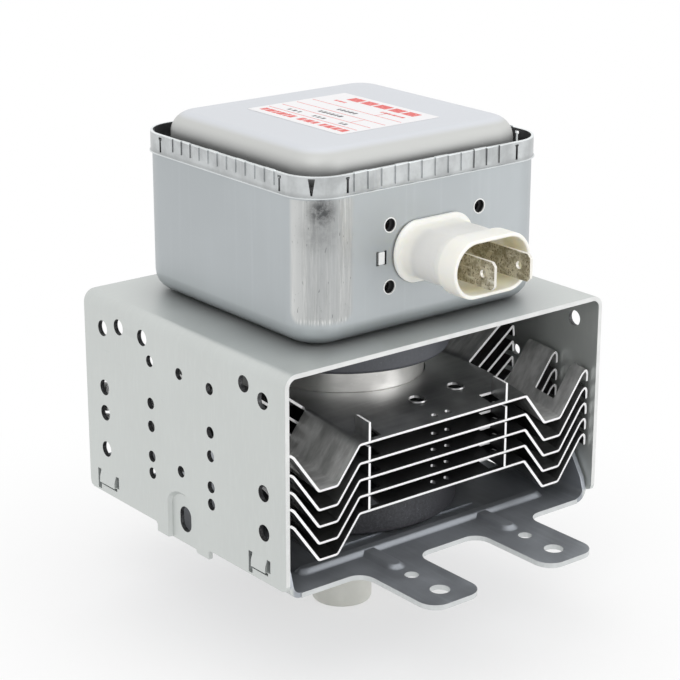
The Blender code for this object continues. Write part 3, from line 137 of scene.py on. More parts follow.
def carried(bm, face):
    """Extrude one face in place: the new face and its corners."""
    drawn = bmesh.ops.extrude_face_region(bm, geom=[face])
    bmesh.ops.delete(bm, geom=[face], context="FACES_ONLY")
    return new_ones(drawn, bmesh.types.BMFace)[0], new_ones(drawn, bmesh.types.BMVert)


def rod(bm, centre, radius, length, axis, segments=28):
    """Add a cylinder across the centre, along an axis."""
    turn = {"X": Matrix.Rotation(math.pi / 2, 4, "Y"), "Y": Matrix.Rotation(math.pi / 2, 4, "X"),
            "Z": Matrix.Identity(4)}[axis]
    bmesh.ops.create_cone(bm, cap_ends=True, segments=segments, radius1=radius, radius2=radius,
                          depth=length, matrix=Matrix.Translation(centre) @ turn)


def merged(*parts):
    """Several bmeshes as one."""
    whole = bmesh.new()
    for part in parts:
        mesh = bpy.data.meshes.new("work")
        part.to_mesh(mesh)
        part.free()
        whole.from_mesh(mesh)
        bpy.data.meshes.remove(mesh)
    return whole


def work_object(bm):
    mesh = bpy.data.meshes.new("work")
    bm.to_mesh(mesh)
    bm.free()
    thing = bpy.data.objects.new("work", mesh)
    bpy.context.scene.collection.objects.link(thing)
    return thing


def worked_out(thing, *others):
    """The object's shape after its modifiers, with the work objects cleared away."""
    graph = bpy.context.evaluated_depsgraph_get()
    result = bmesh.new()
    result.from_mesh(thing.evaluated_get(graph).to_mesh())
    for item in (thing, *others):
        mesh = item.data
        bpy.data.objects.remove(item)
        bpy.data.meshes.remove(mesh)
    return result


def combined(body, tool, operation="DIFFERENCE"):
    bmesh.ops.recalc_face_normals(tool, faces=tool.faces)
    body = work_object(body)
    tool = work_object(tool)
    modifier = body.modifiers.new("combine", "BOOLEAN")
    modifier.object = tool
    modifier.operation = operation
    modifier.solver = "EXACT"
    return worked_out(body, tool)


def thickened(bm, sheet, side):
    """Give a skin its thickness: side -1 goes inwards, 0 to both sides."""
    body = work_object(bm)
    modifier = body.modifiers.new("sheet", "SOLIDIFY")
    modifier.thickness = sheet
    modifier.offset = side
    modifier.use_even_offset = True
    return worked_out(body)


def turned(profile, segments=96):
    """Spin a few corners of radius and height round the upright axis."""
    bm = bmesh.new()
    verts = [bm.verts.new((radius, 0.0, height)) for radius, height in profile]
    edges = [bm.edges.new(pair) for pair in zip(verts, verts[1:])]
    if profile[0][0] > 0.0:
        edges.append(bm.edges.new((verts[-1], verts[0])))
    bmesh.ops.spin(bm, geom=verts + edges, cent=(0, 0, 0), axis=(0, 0, 1), angle=2 * math.pi,
                   steps=segments, use_merge=True)
    bmesh.ops.remove_doubles(bm, verts=bm.verts, dist=0.001 * MM)
    bmesh.ops.recalc_face_normals(bm, faces=bm.faces)
    return bm


def finished(name, bm, material, replaced=(), edge=0.0, smooth=38, others=()):
    """Make the piece and hang it on the frame. Others pairs further finishes with tests for their faces."""
    if bm.calc_volume(signed=True) < 0:
        bmesh.ops.reverse_faces(bm, faces=bm.faces)
    bm.normal_update()
    for face in bm.faces:
        fitting = [number for number, (finish, test) in enumerate(others, 1) if test(face)]
        face.material_index = fitting[0] if fitting else 0
    mesh = bpy.data.meshes.new(name)
    bm.to_mesh(mesh)
    bm.free()
    piece = bpy.data.objects.new(name, mesh)
    bpy.context.scene.collection.objects.link(piece)
    for finish in (material, *(finish for finish, test in others)):
        mesh.materials.append(finish)
    mesh.shade_smooth()
    mesh.set_sharp_from_angle(angle=math.radians(smooth))
    if edge:
        modifier = piece.modifiers.new("soft edges", "BEVEL")
        modifier.width = edge
        modifier.segments = 2
        modifier.limit_method = "ANGLE"
        modifier.angle_limit = math.radians(smooth)
        modifier.miter_outer = "MITER_ARC"
    weighted = piece.modifiers.new("flat faces stay flat", "WEIGHTED_NORMAL")
    weighted.keep_sharp = True
    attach(piece, "root")
    if replaced:
        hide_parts(*replaced)
    return piece


# Material helpers

class Finish:
    """A material with short calls for the nodes that this object's finishes share."""

    def __init__(self, name, colour, roughness, metallic=0.0):
        self.material = bpy.data.materials.new(name)
        self.material.use_nodes = True
        self.nodes = self.material.node_tree.nodes
        self.links = self.material.node_tree.links
        self.shader = self.nodes["Principled BSDF"]
        self.shader.inputs["Base Color"].default_value = (*colour, 1.0)
        self.shader.inputs["Roughness"].default_value = roughness
        self.shader.inputs["Metallic"].default_value = metallic
        self.place = self.nodes.new("ShaderNodeTexCoord").outputs["Object"]

    def stretched(self, scale):
        node = self.nodes.new("ShaderNodeMapping")
        node.inputs["Scale"].default_value = scale
        self.links.new(self.place, node.inputs["Vector"])
        return node.outputs["Vector"]

    def noise(self, scale, detail=3.0, stretch=(1, 1, 1), rough=0.5, distortion=0.0):
        node = self.nodes.new("ShaderNodeTexNoise")
        node.inputs["Scale"].default_value = scale
        node.inputs["Detail"].default_value = detail
        node.inputs["Roughness"].default_value = rough
        node.inputs["Distortion"].default_value = distortion
        self.links.new(self.stretched(stretch), node.inputs["Vector"])
        return node.outputs["Fac"]

    def cells(self, scale, stretch=(1, 1, 1)):
        node = self.nodes.new("ShaderNodeTexVoronoi")
        node.inputs["Scale"].default_value = scale
        self.links.new(self.stretched(stretch), node.inputs["Vector"])
        return node

    def span(self, value, low, high, out_low=0.0, out_high=1.0):
        node = self.nodes.new("ShaderNodeMapRange")
        node.interpolation_type = "SMOOTHSTEP"
        for socket, number in (("From Min", low), ("From Max", high), ("To Min", out_low), ("To Max", out_high)):
            node.inputs[socket].default_value = number
        self.links.new(value, node.inputs["Value"])
        return node.outputs["Result"]

    def maths(self, operation, first, second=None):
        node = self.nodes.new("ShaderNodeMath")
        node.operation = operation
        for socket, value in zip(node.inputs, (first, second)):
            if value is None:
                continue
            if isinstance(value, (int, float)):
                socket.default_value = value
            else:
                self.links.new(value, socket)
        return node.outputs["Value"]

    def near(self, centre, inside, outside):
        """One inside the first distance from a point, fading to nothing at the second."""
        node = self.nodes.new("ShaderNodeVectorMath")
        node.operation = "DISTANCE"
        node.inputs[1].default_value = centre
        self.links.new(self.place, node.inputs[0])
        return self.span(node.outputs["Value"], inside, outside, 1.0, 0.0)

    def beyond(self, value, limit):
        """How far a value lies past a limit, and nothing before it."""
        return self.maths("MAXIMUM", self.maths("SUBTRACT", value, limit), 0.0)

    def apart(self, first, second):
        """The length of two distances at right angles."""
        square = self.maths("ADD", self.maths("MULTIPLY", first, first), self.maths("MULTIPLY", second, second))
        return self.maths("SQRT", square)

    def axis(self, letter):
        if not hasattr(self, "split"):
            self.split = self.nodes.new("ShaderNodeSeparateXYZ")
            self.links.new(self.place, self.split.inputs["Vector"])
        return self.split.outputs[letter]

    def blend(self, factor, first, second):
        node = self.nodes.new("ShaderNodeMix")
        node.data_type = "RGBA"
        self.links.new(factor, node.inputs["Factor"])
        for socket, value in ((node.inputs[6], first), (node.inputs[7], second)):
            if isinstance(value, tuple):
                socket.default_value = (*value, 1.0)
            else:
                self.links.new(value, socket)
        return node.outputs[2]

    def colour(self, value):
        self.links.new(value, self.shader.inputs["Base Color"])

    def roughness(self, value):
        self.links.new(value, self.shader.inputs["Roughness"])

    def metal(self, value):
        self.links.new(value, self.shader.inputs["Metallic"])

    def bump(self, height, strength, distance):
        node = self.nodes.new("ShaderNodeBump")
        node.inputs["Strength"].default_value = strength
        node.inputs["Distance"].default_value = distance
        self.links.new(height, node.inputs["Height"])
        previous = self.shader.inputs["Normal"].links
        if previous:
            self.links.new(previous[0].from_socket, node.inputs["Normal"])
        self.links.new(node.outputs["Normal"], self.shader.inputs["Normal"])


def shade(colour, factor):
    return tuple(min(1.0, part * factor) for part in colour)


def rolled_sheet(name, colour, roughness, grain, metallic=1.0, contrast=0.10):
    """Plated sheet: cloudy plating, rolling grain, and a few fine scratches."""
    finish = Finish(name, colour, roughness, metallic)
    cloud = finish.noise(70, 4, rough=0.6)
    streak = finish.noise(900, 3, stretch=grain)
    tone = finish.blend(finish.span(cloud, 0.35, 0.68), shade(colour, 1 - contrast), shade(colour, 1 + contrast / 2))
    tone = finish.blend(finish.span(streak, 0.42, 0.72, 0.0, 0.35), tone, shade(colour, 1 + contrast))
    scratch = finish.noise(2600, 2, stretch=tuple(0.4 * part for part in grain), distortion=0.6)
    tone = finish.blend(finish.span(scratch, 0.70, 0.76, 0.0, 0.5), tone, shade(colour, 1.25))
    finish.colour(tone)
    finish.roughness(finish.span(cloud, 0.3, 0.7, roughness * 0.85, roughness * 1.2))
    finish.bump(streak, 0.10, 0.02 * MM)
    return finish


# Finishes

def yoke_zinc():
    """Zinc-plated strap: an even pale grey, very faintly clouded."""
    base = (0.615, 0.64, 0.625)
    finish = Finish("yoke_zinc", base, 0.46, 0.75)
    cloud = finish.noise(28, 4, rough=0.5)
    grain = finish.noise(1500, 3, stretch=(0.15, 1.0, 0.15))
    tone = finish.blend(finish.span(cloud, 0.3, 0.72), shade(base, 0.96), shade(base, 1.03))
    tone = finish.blend(finish.span(grain, 0.45, 0.75, 0.0, 0.25), tone, shade(base, 1.08))
    rub = finish.span(finish.noise(420, 2, stretch=(1.0, 0.2, 1.0), distortion=0.8), 0.70, 0.78, 0.0, 0.25)
    tone = finish.blend(rub, tone, shade(base, 0.86))

    # The top is darker under and around the box: painted shade near the box
    under_box = finish.apart(finish.beyond(finish.maths("ABSOLUTE", finish.axis("X")), 22 * MM),
                             finish.beyond(finish.maths("ABSOLUTE", finish.axis("Y")), 22 * MM))
    painted_box_shade = finish.maths("MULTIPLY", finish.span(under_box, 6 * MM, 25 * MM, 0.55, 0.0),
                        finish.span(finish.axis("Z"), 76 * MM, 78.5 * MM))
    finish.colour(finish.blend(painted_box_shade, tone, (0.36, 0.365, 0.375)))
    finish.roughness(finish.span(cloud, 0.3, 0.7, 0.40, 0.52))
    finish.bump(grain, 0.06, 0.02 * MM)
    return finish.material


def cut_edge(name, colour, metallic):
    """Sheared sheet with the fine drag lines of the shears, brighter than its faces: partly the bare cut metal,
    partly a painted highlight along the edge.
    """
    finish = Finish(name, colour, 0.34, metallic)
    drag = finish.noise(1500, 3, stretch=(0.15, 1.0, 0.15))
    finish.colour(finish.blend(finish.span(drag, 0.35, 0.7), shade(colour, 0.95), shade(colour, 1.03)))
    finish.roughness(finish.span(drag, 0.3, 0.7, 0.30, 0.42))
    finish.bump(drag, 0.04, 0.01 * MM)
    return finish.material


def punched_wall():
    """The torn walls of the punched holes, painted near black as the shade inside the holes."""
    base = (0.045, 0.046, 0.048)
    finish = Finish("punched_wall", base, 0.5, 0.3)
    tear = finish.noise(1600, 3)
    finish.colour(finish.blend(finish.span(tear, 0.35, 0.7), shade(base, 0.7), shade(base, 2.2)))
    finish.bump(tear, 0.2, 0.03 * MM)
    return finish.material


def plate_zinc():
    """Darker satin plating, lighter on the tops of the beads and ribs as a painted highlight."""
    base = (0.34, 0.36, 0.39)
    finish = Finish("plate_zinc", base, 0.42, 0.65)
    cloud = finish.noise(55, 4, rough=0.55)
    grain = finish.noise(1100, 3, stretch=(1.0, 0.08, 1.0))
    tone = finish.blend(finish.span(cloud, 0.3, 0.7), shade(base, 0.84), shade(base, 1.12))
    tone = finish.blend(finish.span(grain, 0.45, 0.75, 0.0, 0.3), tone, shade(base, 1.3))
    # Painted highlight: the upper parts of the beads and ribs are lighter
    bead_top_highlight = finish.span(finish.axis("Z"), 28.3 * MM, 28.95 * MM, 0.0, 0.3)
    tone = finish.blend(bead_top_highlight, tone, shade(base, 1.35))
    outside = finish.span(finish.maths("ABSOLUTE", finish.axis("X")), 44.2 * MM, 45.3 * MM)
    low_side = finish.span(finish.axis("Z"), 29.0 * MM, 30.0 * MM, 1.0, 0.0)
    finish.colour(finish.blend(finish.maths("MULTIPLY", outside, low_side), tone, (0.58, 0.60, 0.59)))
    finish.roughness(finish.span(cloud, 0.3, 0.7, 0.36, 0.52))
    finish.bump(grain, 0.08, 0.02 * MM)
    return finish.material


def box_steel():
    """Drawn steel: upright die marks, and a burnished, scored band down the near corner."""
    base = (0.465, 0.495, 0.51)
    finish = Finish("box_steel", base, 0.40, 0.8)
    cloud = finish.noise(24, 4, rough=0.5)
    draw = finish.noise(800, 3, stretch=(1, 1, 0.03))
    tone = finish.blend(finish.span(cloud, 0.3, 0.72), shade(base, 0.94), shade(base, 1.05))
    tone = finish.blend(finish.span(draw, 0.5, 0.8, 0.0, 0.3), tone, shade(base, 1.12))

    # The burnished band, square to the corner and round at its lower ends
    across = finish.maths("ABSOLUTE", finish.maths("SUBTRACT", finish.axis("X"), finish.axis("Y")))
    below = finish.maths("MAXIMUM", finish.maths("SUBTRACT", BAND_FOOT, finish.axis("Z")), 0.0)
    band = finish.span(finish.apart(finish.beyond(across, BAND_HALF), below), 1.9 * MM, 3.4 * MM, 1.0, 0.0)
    corner = finish.maths("ADD", finish.axis("X"), finish.axis("Y"))
    band = finish.maths("MULTIPLY", band, finish.span(corner, -42.0 * MM, -40.0 * MM, 1.0, 0.0))
    band = finish.maths("MULTIPLY", band, finish.span(finish.axis("Z"), 113.3 * MM, 113.6 * MM, 1.0, 0.0))
    score = finish.noise(1700, 5, stretch=(1, 1, 0.05), rough=0.8)
    wide = finish.noise(380, 3, stretch=(1, 1, 0.03))
    worn = finish.blend(finish.span(score, 0.34, 0.66), (0.36, 0.365, 0.36), (0.66, 0.665, 0.65))
    worn = finish.blend(finish.span(wide, 0.38, 0.62, 0.8, 0.0), worn, (0.42, 0.43, 0.43))
    rubbed = finish.span(finish.maths("SUBTRACT", finish.axis("X"), finish.axis("Y")), -9 * MM, -2 * MM, 0.65, 0.0)
    worn = finish.blend(rubbed, worn, (0.72, 0.725, 0.71))
    pits = finish.span(finish.noise(2300, 3, stretch=(1, 1, 0.25)), 0.67, 0.73, 0.0, 0.7)
    worn = finish.blend(pits, worn, (0.09, 0.09, 0.09))
    foot = finish.maths("MULTIPLY", finish.span(below, 1.2 * MM, 2.6 * MM), finish.span(score, 0.47, 0.62))
    worn = finish.blend(foot, worn, (0.88, 0.88, 0.86))
    tone = finish.blend(finish.maths("MULTIPLY", band, 0.85), tone, worn)
    tail = finish.maths("MULTIPLY", finish.near(RUB_TAIL, 1.0 * MM, 7.0 * MM), 0.35)
    rub = finish.maths("ADD", finish.near(RUB_PLACE, 0.6 * MM, 4.6 * MM), tail)
    patchy = finish.span(finish.noise(700, 4, rough=0.7), 0.35, 0.6, 0.55, 0.95)
    rub = finish.maths("MULTIPLY", finish.maths("MINIMUM", rub, 1.0), patchy)
    tone = finish.blend(rub, tone, (0.075, 0.078, 0.08))
    # Painted shade: the box darkens towards its rounded foot, down by the yoke's top
    heel_shade = finish.span(finish.axis("Z"), *BOX_HEEL_SHADE, 0.55, 0.0)
    finish.colour(finish.blend(heel_shade, tone, (0.16, 0.17, 0.175)))
    finish.roughness(finish.maths("SUBTRACT", finish.span(cloud, 0.3, 0.7, 0.38, 0.47),
                                  finish.maths("MULTIPLY", band, 0.10)))
    finish.bump(draw, 0.06, 0.02 * MM)
    finish.bump(finish.maths("MULTIPLY", score, band), 0.30, 0.04 * MM)
    return finish.material


def rim_steel(name, base):
    """The crimped rim: the box's steel, with a painted highlight on its lip and top edge, and painted shade just
    above the lip, under the panels' feet.
    """
    finish = Finish(name, base, 0.34, 0.85)
    cloud = finish.noise(160, 4, rough=0.6)
    draw = finish.noise(900, 3, stretch=(1, 1, 0.05))
    tone = finish.blend(finish.span(cloud, 0.32, 0.7), shade(base, 0.80), shade(base, 1.12))
    tone = finish.blend(finish.span(draw, 0.5, 0.8, 0.0, 0.3), tone, shade(base, 1.2))
    # Painted highlight along the lip
    lip_highlight = finish.span(finish.axis("Z"), RIM_FOOT, RIM_FOOT + 0.2 * MM, 0.7, 0.0)
    tone = finish.blend(lip_highlight, tone, shade(base, 1.45))
    # Painted shade just above the lip, under the panels' feet
    foot = finish.span(finish.axis("Z"), RIM_FOOT + 0.25 * MM, RIM_FOOT + 1.25 * MM, 0.45, 0.0)
    tone = finish.blend(finish.maths("SUBTRACT", foot, lip_highlight), tone, shade(base, 0.6))
    # Painted highlight along the rim's top edge
    top = finish.span(finish.axis("Z"), RIM_TOP - 0.2 * MM, RIM_TOP, 0.0, 0.9)
    tone = finish.blend(top, tone, shade(base, 1.6))
    finish.colour(tone)
    finish.roughness(finish.span(cloud, 0.3, 0.7, 0.28, 0.42))
    finish.bump(cloud, 0.15, 0.05 * MM)
    return finish.material


def lid_steel():
    """Satin coated lid, smoother than the box, with painted shade: a darker, warmer band on its shoulders and a moat
    that darkens to near black at its foot.
    """
    base = (0.655, 0.675, 0.71)
    finish = Finish("lid_steel", base, 0.5, 0.25)
    cloud = finish.noise(22, 3, rough=0.5)
    grain = finish.noise(1700, 3)
    tone = finish.blend(finish.span(cloud, 0.3, 0.7), shade(base, 0.98), shade(base, 1.015))
    # Painted shade: a darker band on the shoulder, the moat darker, and near black at its foot
    shoulder = finish.span(finish.axis("Z"), 121.9 * MM, 123.0 * MM, 0.9, 0.0)
    tone = finish.blend(shoulder, tone, (0.56, 0.565, 0.545))
    moat_shade = finish.span(finish.axis("Z"), 117.4 * MM, 121.6 * MM, 0.85, 0.0)
    tone = finish.blend(moat_shade, tone, (0.19, 0.195, 0.195))
    deep = finish.span(finish.axis("Z"), 115.0 * MM, 117.6 * MM, 0.9, 0.0)
    tone = finish.blend(deep, tone, (0.03, 0.03, 0.03))
    tone = finish.blend(finish.span(grain, 0.62, 0.72, 0.0, 0.12), tone, shade(base, 0.85))
    finish.colour(tone)
    finish.roughness(finish.span(cloud, 0.3, 0.7, 0.44, 0.54))
    finish.bump(grain, 0.05, 0.02 * MM)
    return finish.material


def fin_aluminium(name, gap_shade_strength):
    """Mill-finish fin stock with rolling lines across the sheet, and painted light and shade: a painted reflection of
    the anode can round the collar, painted highlight blotches on the top fin's wing slopes, and painted shade on the
    lower fins' wings between the fins.
    """
    base = (0.33, 0.333, 0.336)
    finish = Finish(name, base, 0.32, 0.9)
    cloud = finish.noise(90, 4, rough=0.6)
    roll = finish.noise(1000, 3, stretch=(0.05, 1.0, 0.3))
    tone = finish.blend(finish.span(cloud, 0.32, 0.7), shade(base, 0.78), shade(base, 1.15))
    tone = finish.blend(finish.span(roll, 0.42, 0.72, 0.0, 0.35), tone, shade(base, 1.3))
    # Painted reflection of the anode can: the sheet is lighter round the collar
    around = finish.apart(finish.axis("X"), finish.axis("Y"))
    tone = finish.blend(finish.span(around, 21.0 * MM, 27.0 * MM, 0.6, 0.0), tone, (0.66, 0.66, 0.66))
    aside = finish.maths("ABSOLUTE", finish.axis("X"))
    # Painted highlight: pale blotches on the wing slopes
    wing_blotch = finish.noise(240, 4, stretch=(0.35, 1.0, 0.35), rough=0.6)
    wing_highlight = finish.blend(finish.span(wing_blotch, 0.3, 0.7), (0.34, 0.34, 0.335), (0.78, 0.78, 0.77))
    tone = finish.blend(finish.span(aside, 25.3 * MM, 27.0 * MM, 0.0, 0.85), tone, wing_highlight)
    # Painted shade on the wings of the lower fins, where they lie between the other fins
    gap_shade = finish.span(aside, 26.0 * MM, 30.0 * MM, gap_shade_strength, 0.85 * gap_shade_strength)
    tone = finish.blend(gap_shade, tone, (0.05, 0.05, 0.052))
    finish.colour(tone)
    finish.metal(finish.span(aside, 25.3 * MM, 27.0 * MM, 0.9, 0.6 if gap_shade_strength == 0 else 0.95))
    finish.roughness(finish.span(cloud, 0.3, 0.7, 0.28, 0.42))
    finish.bump(roll, 0.10, 0.02 * MM)
    return finish.material


def magnet_ferrite(name, base, dusty):
    """Sintered and ground ferrite: dark grey with fine pale specks where it is left rough."""
    finish = Finish(name, base, 0.48)
    grit = finish.noise(1800, 5, rough=0.7)
    cloud = finish.noise(120, 4, rough=0.6)
    tone = finish.blend(finish.span(grit, 0.35, 0.7), shade(base, 1 - 0.25 * dusty), shade(base, 1 + 0.5 * dusty))
    tone = finish.blend(finish.span(cloud, 0.45, 0.75, 0.0, 0.4 * dusty), tone, shade(base, 1.8))
    speck = finish.span(finish.noise(2600, 2), 0.68, 0.74, 0.0, dusty)
    finish.colour(finish.blend(speck, tone, shade(base, 3.2)))
    finish.roughness(finish.span(grit, 0.3, 0.7, 0.40, 0.55))
    finish.bump(grit, 0.22 * dusty, 0.05 * MM)
    return finish.material


def socket_plastic():
    """Cream moulded plastic, with painted light deep inside its hollow: brighter and yellower there."""
    base = (0.91, 0.89, 0.825)
    finish = Finish("socket_plastic", base, 0.40)
    finish.shader.inputs["Subsurface Weight"].default_value = 0.35
    finish.shader.inputs["Subsurface Scale"].default_value = 2.0 * MM
    finish.shader.inputs["Subsurface Radius"].default_value = (1.0, 0.8, 0.5)
    cloud = finish.noise(120, 4)
    grain = finish.noise(3500, 3)
    tone = finish.blend(finish.span(cloud, 0.35, 0.7), shade(base, 0.975), shade(base, 1.015))
    # Painted light: deep in the hollow the plastic is brighter and yellower
    sideways = finish.beyond(finish.maths("ABSOLUTE", finish.axis("X")), 4.6 * MM)
    upwards = finish.maths("SUBTRACT", finish.axis("Z"), SOCKET_LEVEL)
    hollow = finish.span(finish.apart(sideways, upwards), *SOCKET_HOLLOW, 1.0, 0.0)
    deep = finish.span(finish.axis("Y"), -52.0 * MM, -49.0 * MM, 0.30, 1.0)
    deep = finish.maths("MULTIPLY", deep, finish.span(finish.axis("Y"), -36.2 * MM, -35.8 * MM, 1.0, 0.0))
    tone = finish.blend(finish.maths("MULTIPLY", hollow, deep), tone, (1.0, 0.945, 0.76))
    finish.colour(tone)
    finish.roughness(finish.span(cloud, 0.3, 0.7, 0.36, 0.44))
    finish.bump(grain, 0.05, 0.03 * MM)
    return finish.material


def terminal_tin():
    """Hot-dipped blades: khaki tin with dark freckles and rubbed bright spots."""
    base = (0.50, 0.46, 0.36)
    finish = Finish("terminal_tin", base, 0.38, 0.55)
    cloud = finish.noise(520, 5, rough=0.75)
    tone = finish.blend(finish.span(cloud, 0.38, 0.62), (0.30, 0.27, 0.19), (0.62, 0.58, 0.46))
    freckle = finish.span(finish.noise(1900, 3, rough=0.6), 0.57, 0.63, 0.0, 0.85)
    tone = finish.blend(freckle, tone, (0.09, 0.07, 0.04))
    rub = finish.span(finish.noise(1100, 2, stretch=(1, 0.15, 1)), 0.62, 0.72, 0.0, 0.7)
    tone = finish.blend(rub, tone, (0.78, 0.76, 0.68))
    finish.colour(tone)
    finish.roughness(finish.span(cloud, 0.3, 0.7, 0.30, 0.50))
    finish.bump(cloud, 0.2, 0.05 * MM)
    return finish.material


def plated_shell():
    finish = rolled_sheet("plated_shell", (0.90, 0.89, 0.86), 0.32, (0.3, 0.3, 1.0), 0.8)
    return finish.material


def antenna_cream():
    base = (0.80, 0.80, 0.74)
    finish = Finish("antenna_cream", base, 0.42)
    cloud = finish.noise(150, 4)
    turn = finish.noise(2500, 2, stretch=(0.1, 0.1, 1.0))
    finish.colour(finish.blend(finish.span(cloud, 0.35, 0.7), shade(base, 0.94), shade(base, 1.03)))
    finish.roughness(finish.span(turn, 0.3, 0.7, 0.36, 0.48))
    finish.bump(turn, 0.08, 0.02 * MM)
    return finish.material


def alumina_ceramic():
    base = (0.84, 0.80, 0.76)
    finish = Finish("alumina_ceramic", base, 0.5)
    grain = finish.noise(2200, 4)
    finish.colour(finish.blend(finish.span(grain, 0.35, 0.7), shade(base, 0.95), shade(base, 1.03)))
    finish.bump(grain, 0.1, 0.03 * MM)
    return finish.material


def anode_copper():
    base = (0.80, 0.45, 0.31)
    finish = Finish("anode_copper", base, 0.3, 1.0)
    cloud = finish.noise(260, 4)
    finish.colour(finish.blend(finish.span(cloud, 0.35, 0.7), shade(base, 0.82), shade(base, 1.05)))
    finish.roughness(finish.span(cloud, 0.3, 0.7, 0.22, 0.40))
    return finish.material


def backing_steel():
    """Steel behind the capacitor, painted near black as shade, where little light reaches it."""
    finish = rolled_sheet("backing_steel", (0.055, 0.055, 0.057), 0.55, (1.0, 0.2, 1.0), 0.4)
    return finish.material


def coil_enamel():
    base = (0.58, 0.25, 0.12)
    finish = Finish("coil_enamel", base, 0.25, 0.7)
    cloud = finish.noise(400, 3)
    finish.colour(finish.blend(finish.span(cloud, 0.35, 0.7), shade(base, 0.8), shade(base, 1.15)))
    finish.roughness(finish.span(cloud, 0.3, 0.7, 0.2, 0.35))
    return finish.material


def cathode_metal():
    base = (0.36, 0.36, 0.37)
    finish = Finish("cathode_metal", base, 0.42, 1.0)
    grain = finish.noise(900, 4, stretch=(1, 1, 0.1))
    finish.colour(finish.blend(finish.span(grain, 0.35, 0.7), shade(base, 0.8), shade(base, 1.2)))
    finish.roughness(finish.span(grain, 0.3, 0.7, 0.34, 0.5))
    return finish.material


def gasket_mesh():
    """Knitted wire: crossed loops of light and shadow."""
    base = (0.58, 0.56, 0.52)
    finish = Finish("gasket_mesh", base, 0.42, 1.0)
    loops = finish.cells(900).outputs["Distance"]
    finish.colour(finish.blend(finish.span(loops, 0.15, 0.5), shade(base, 1.15), shade(base, 0.3)))
    finish.bump(loops, 0.6, 0.3 * MM)
    return finish.material


def label_paper():
    base = (0.87, 0.86, 0.87)
    finish = Finish("label_paper", base, 0.5)
    fibre = finish.noise(2400, 4)
    finish.colour(finish.blend(finish.span(fibre, 0.3, 0.7), shade(base, 0.975), shade(base, 1.01)))
    finish.bump(fibre, 0.05, 0.02 * MM)
    return finish.material


def label_ink(name, base, worn):
    finish = Finish(name, base, 0.5)
    wear = finish.noise(1700, 4, rough=0.7)
    finish.colour(finish.blend(finish.span(wear, 0.5, 0.72, 0.0, 0.75), base, worn))
    return finish.material


# Yoke and plate

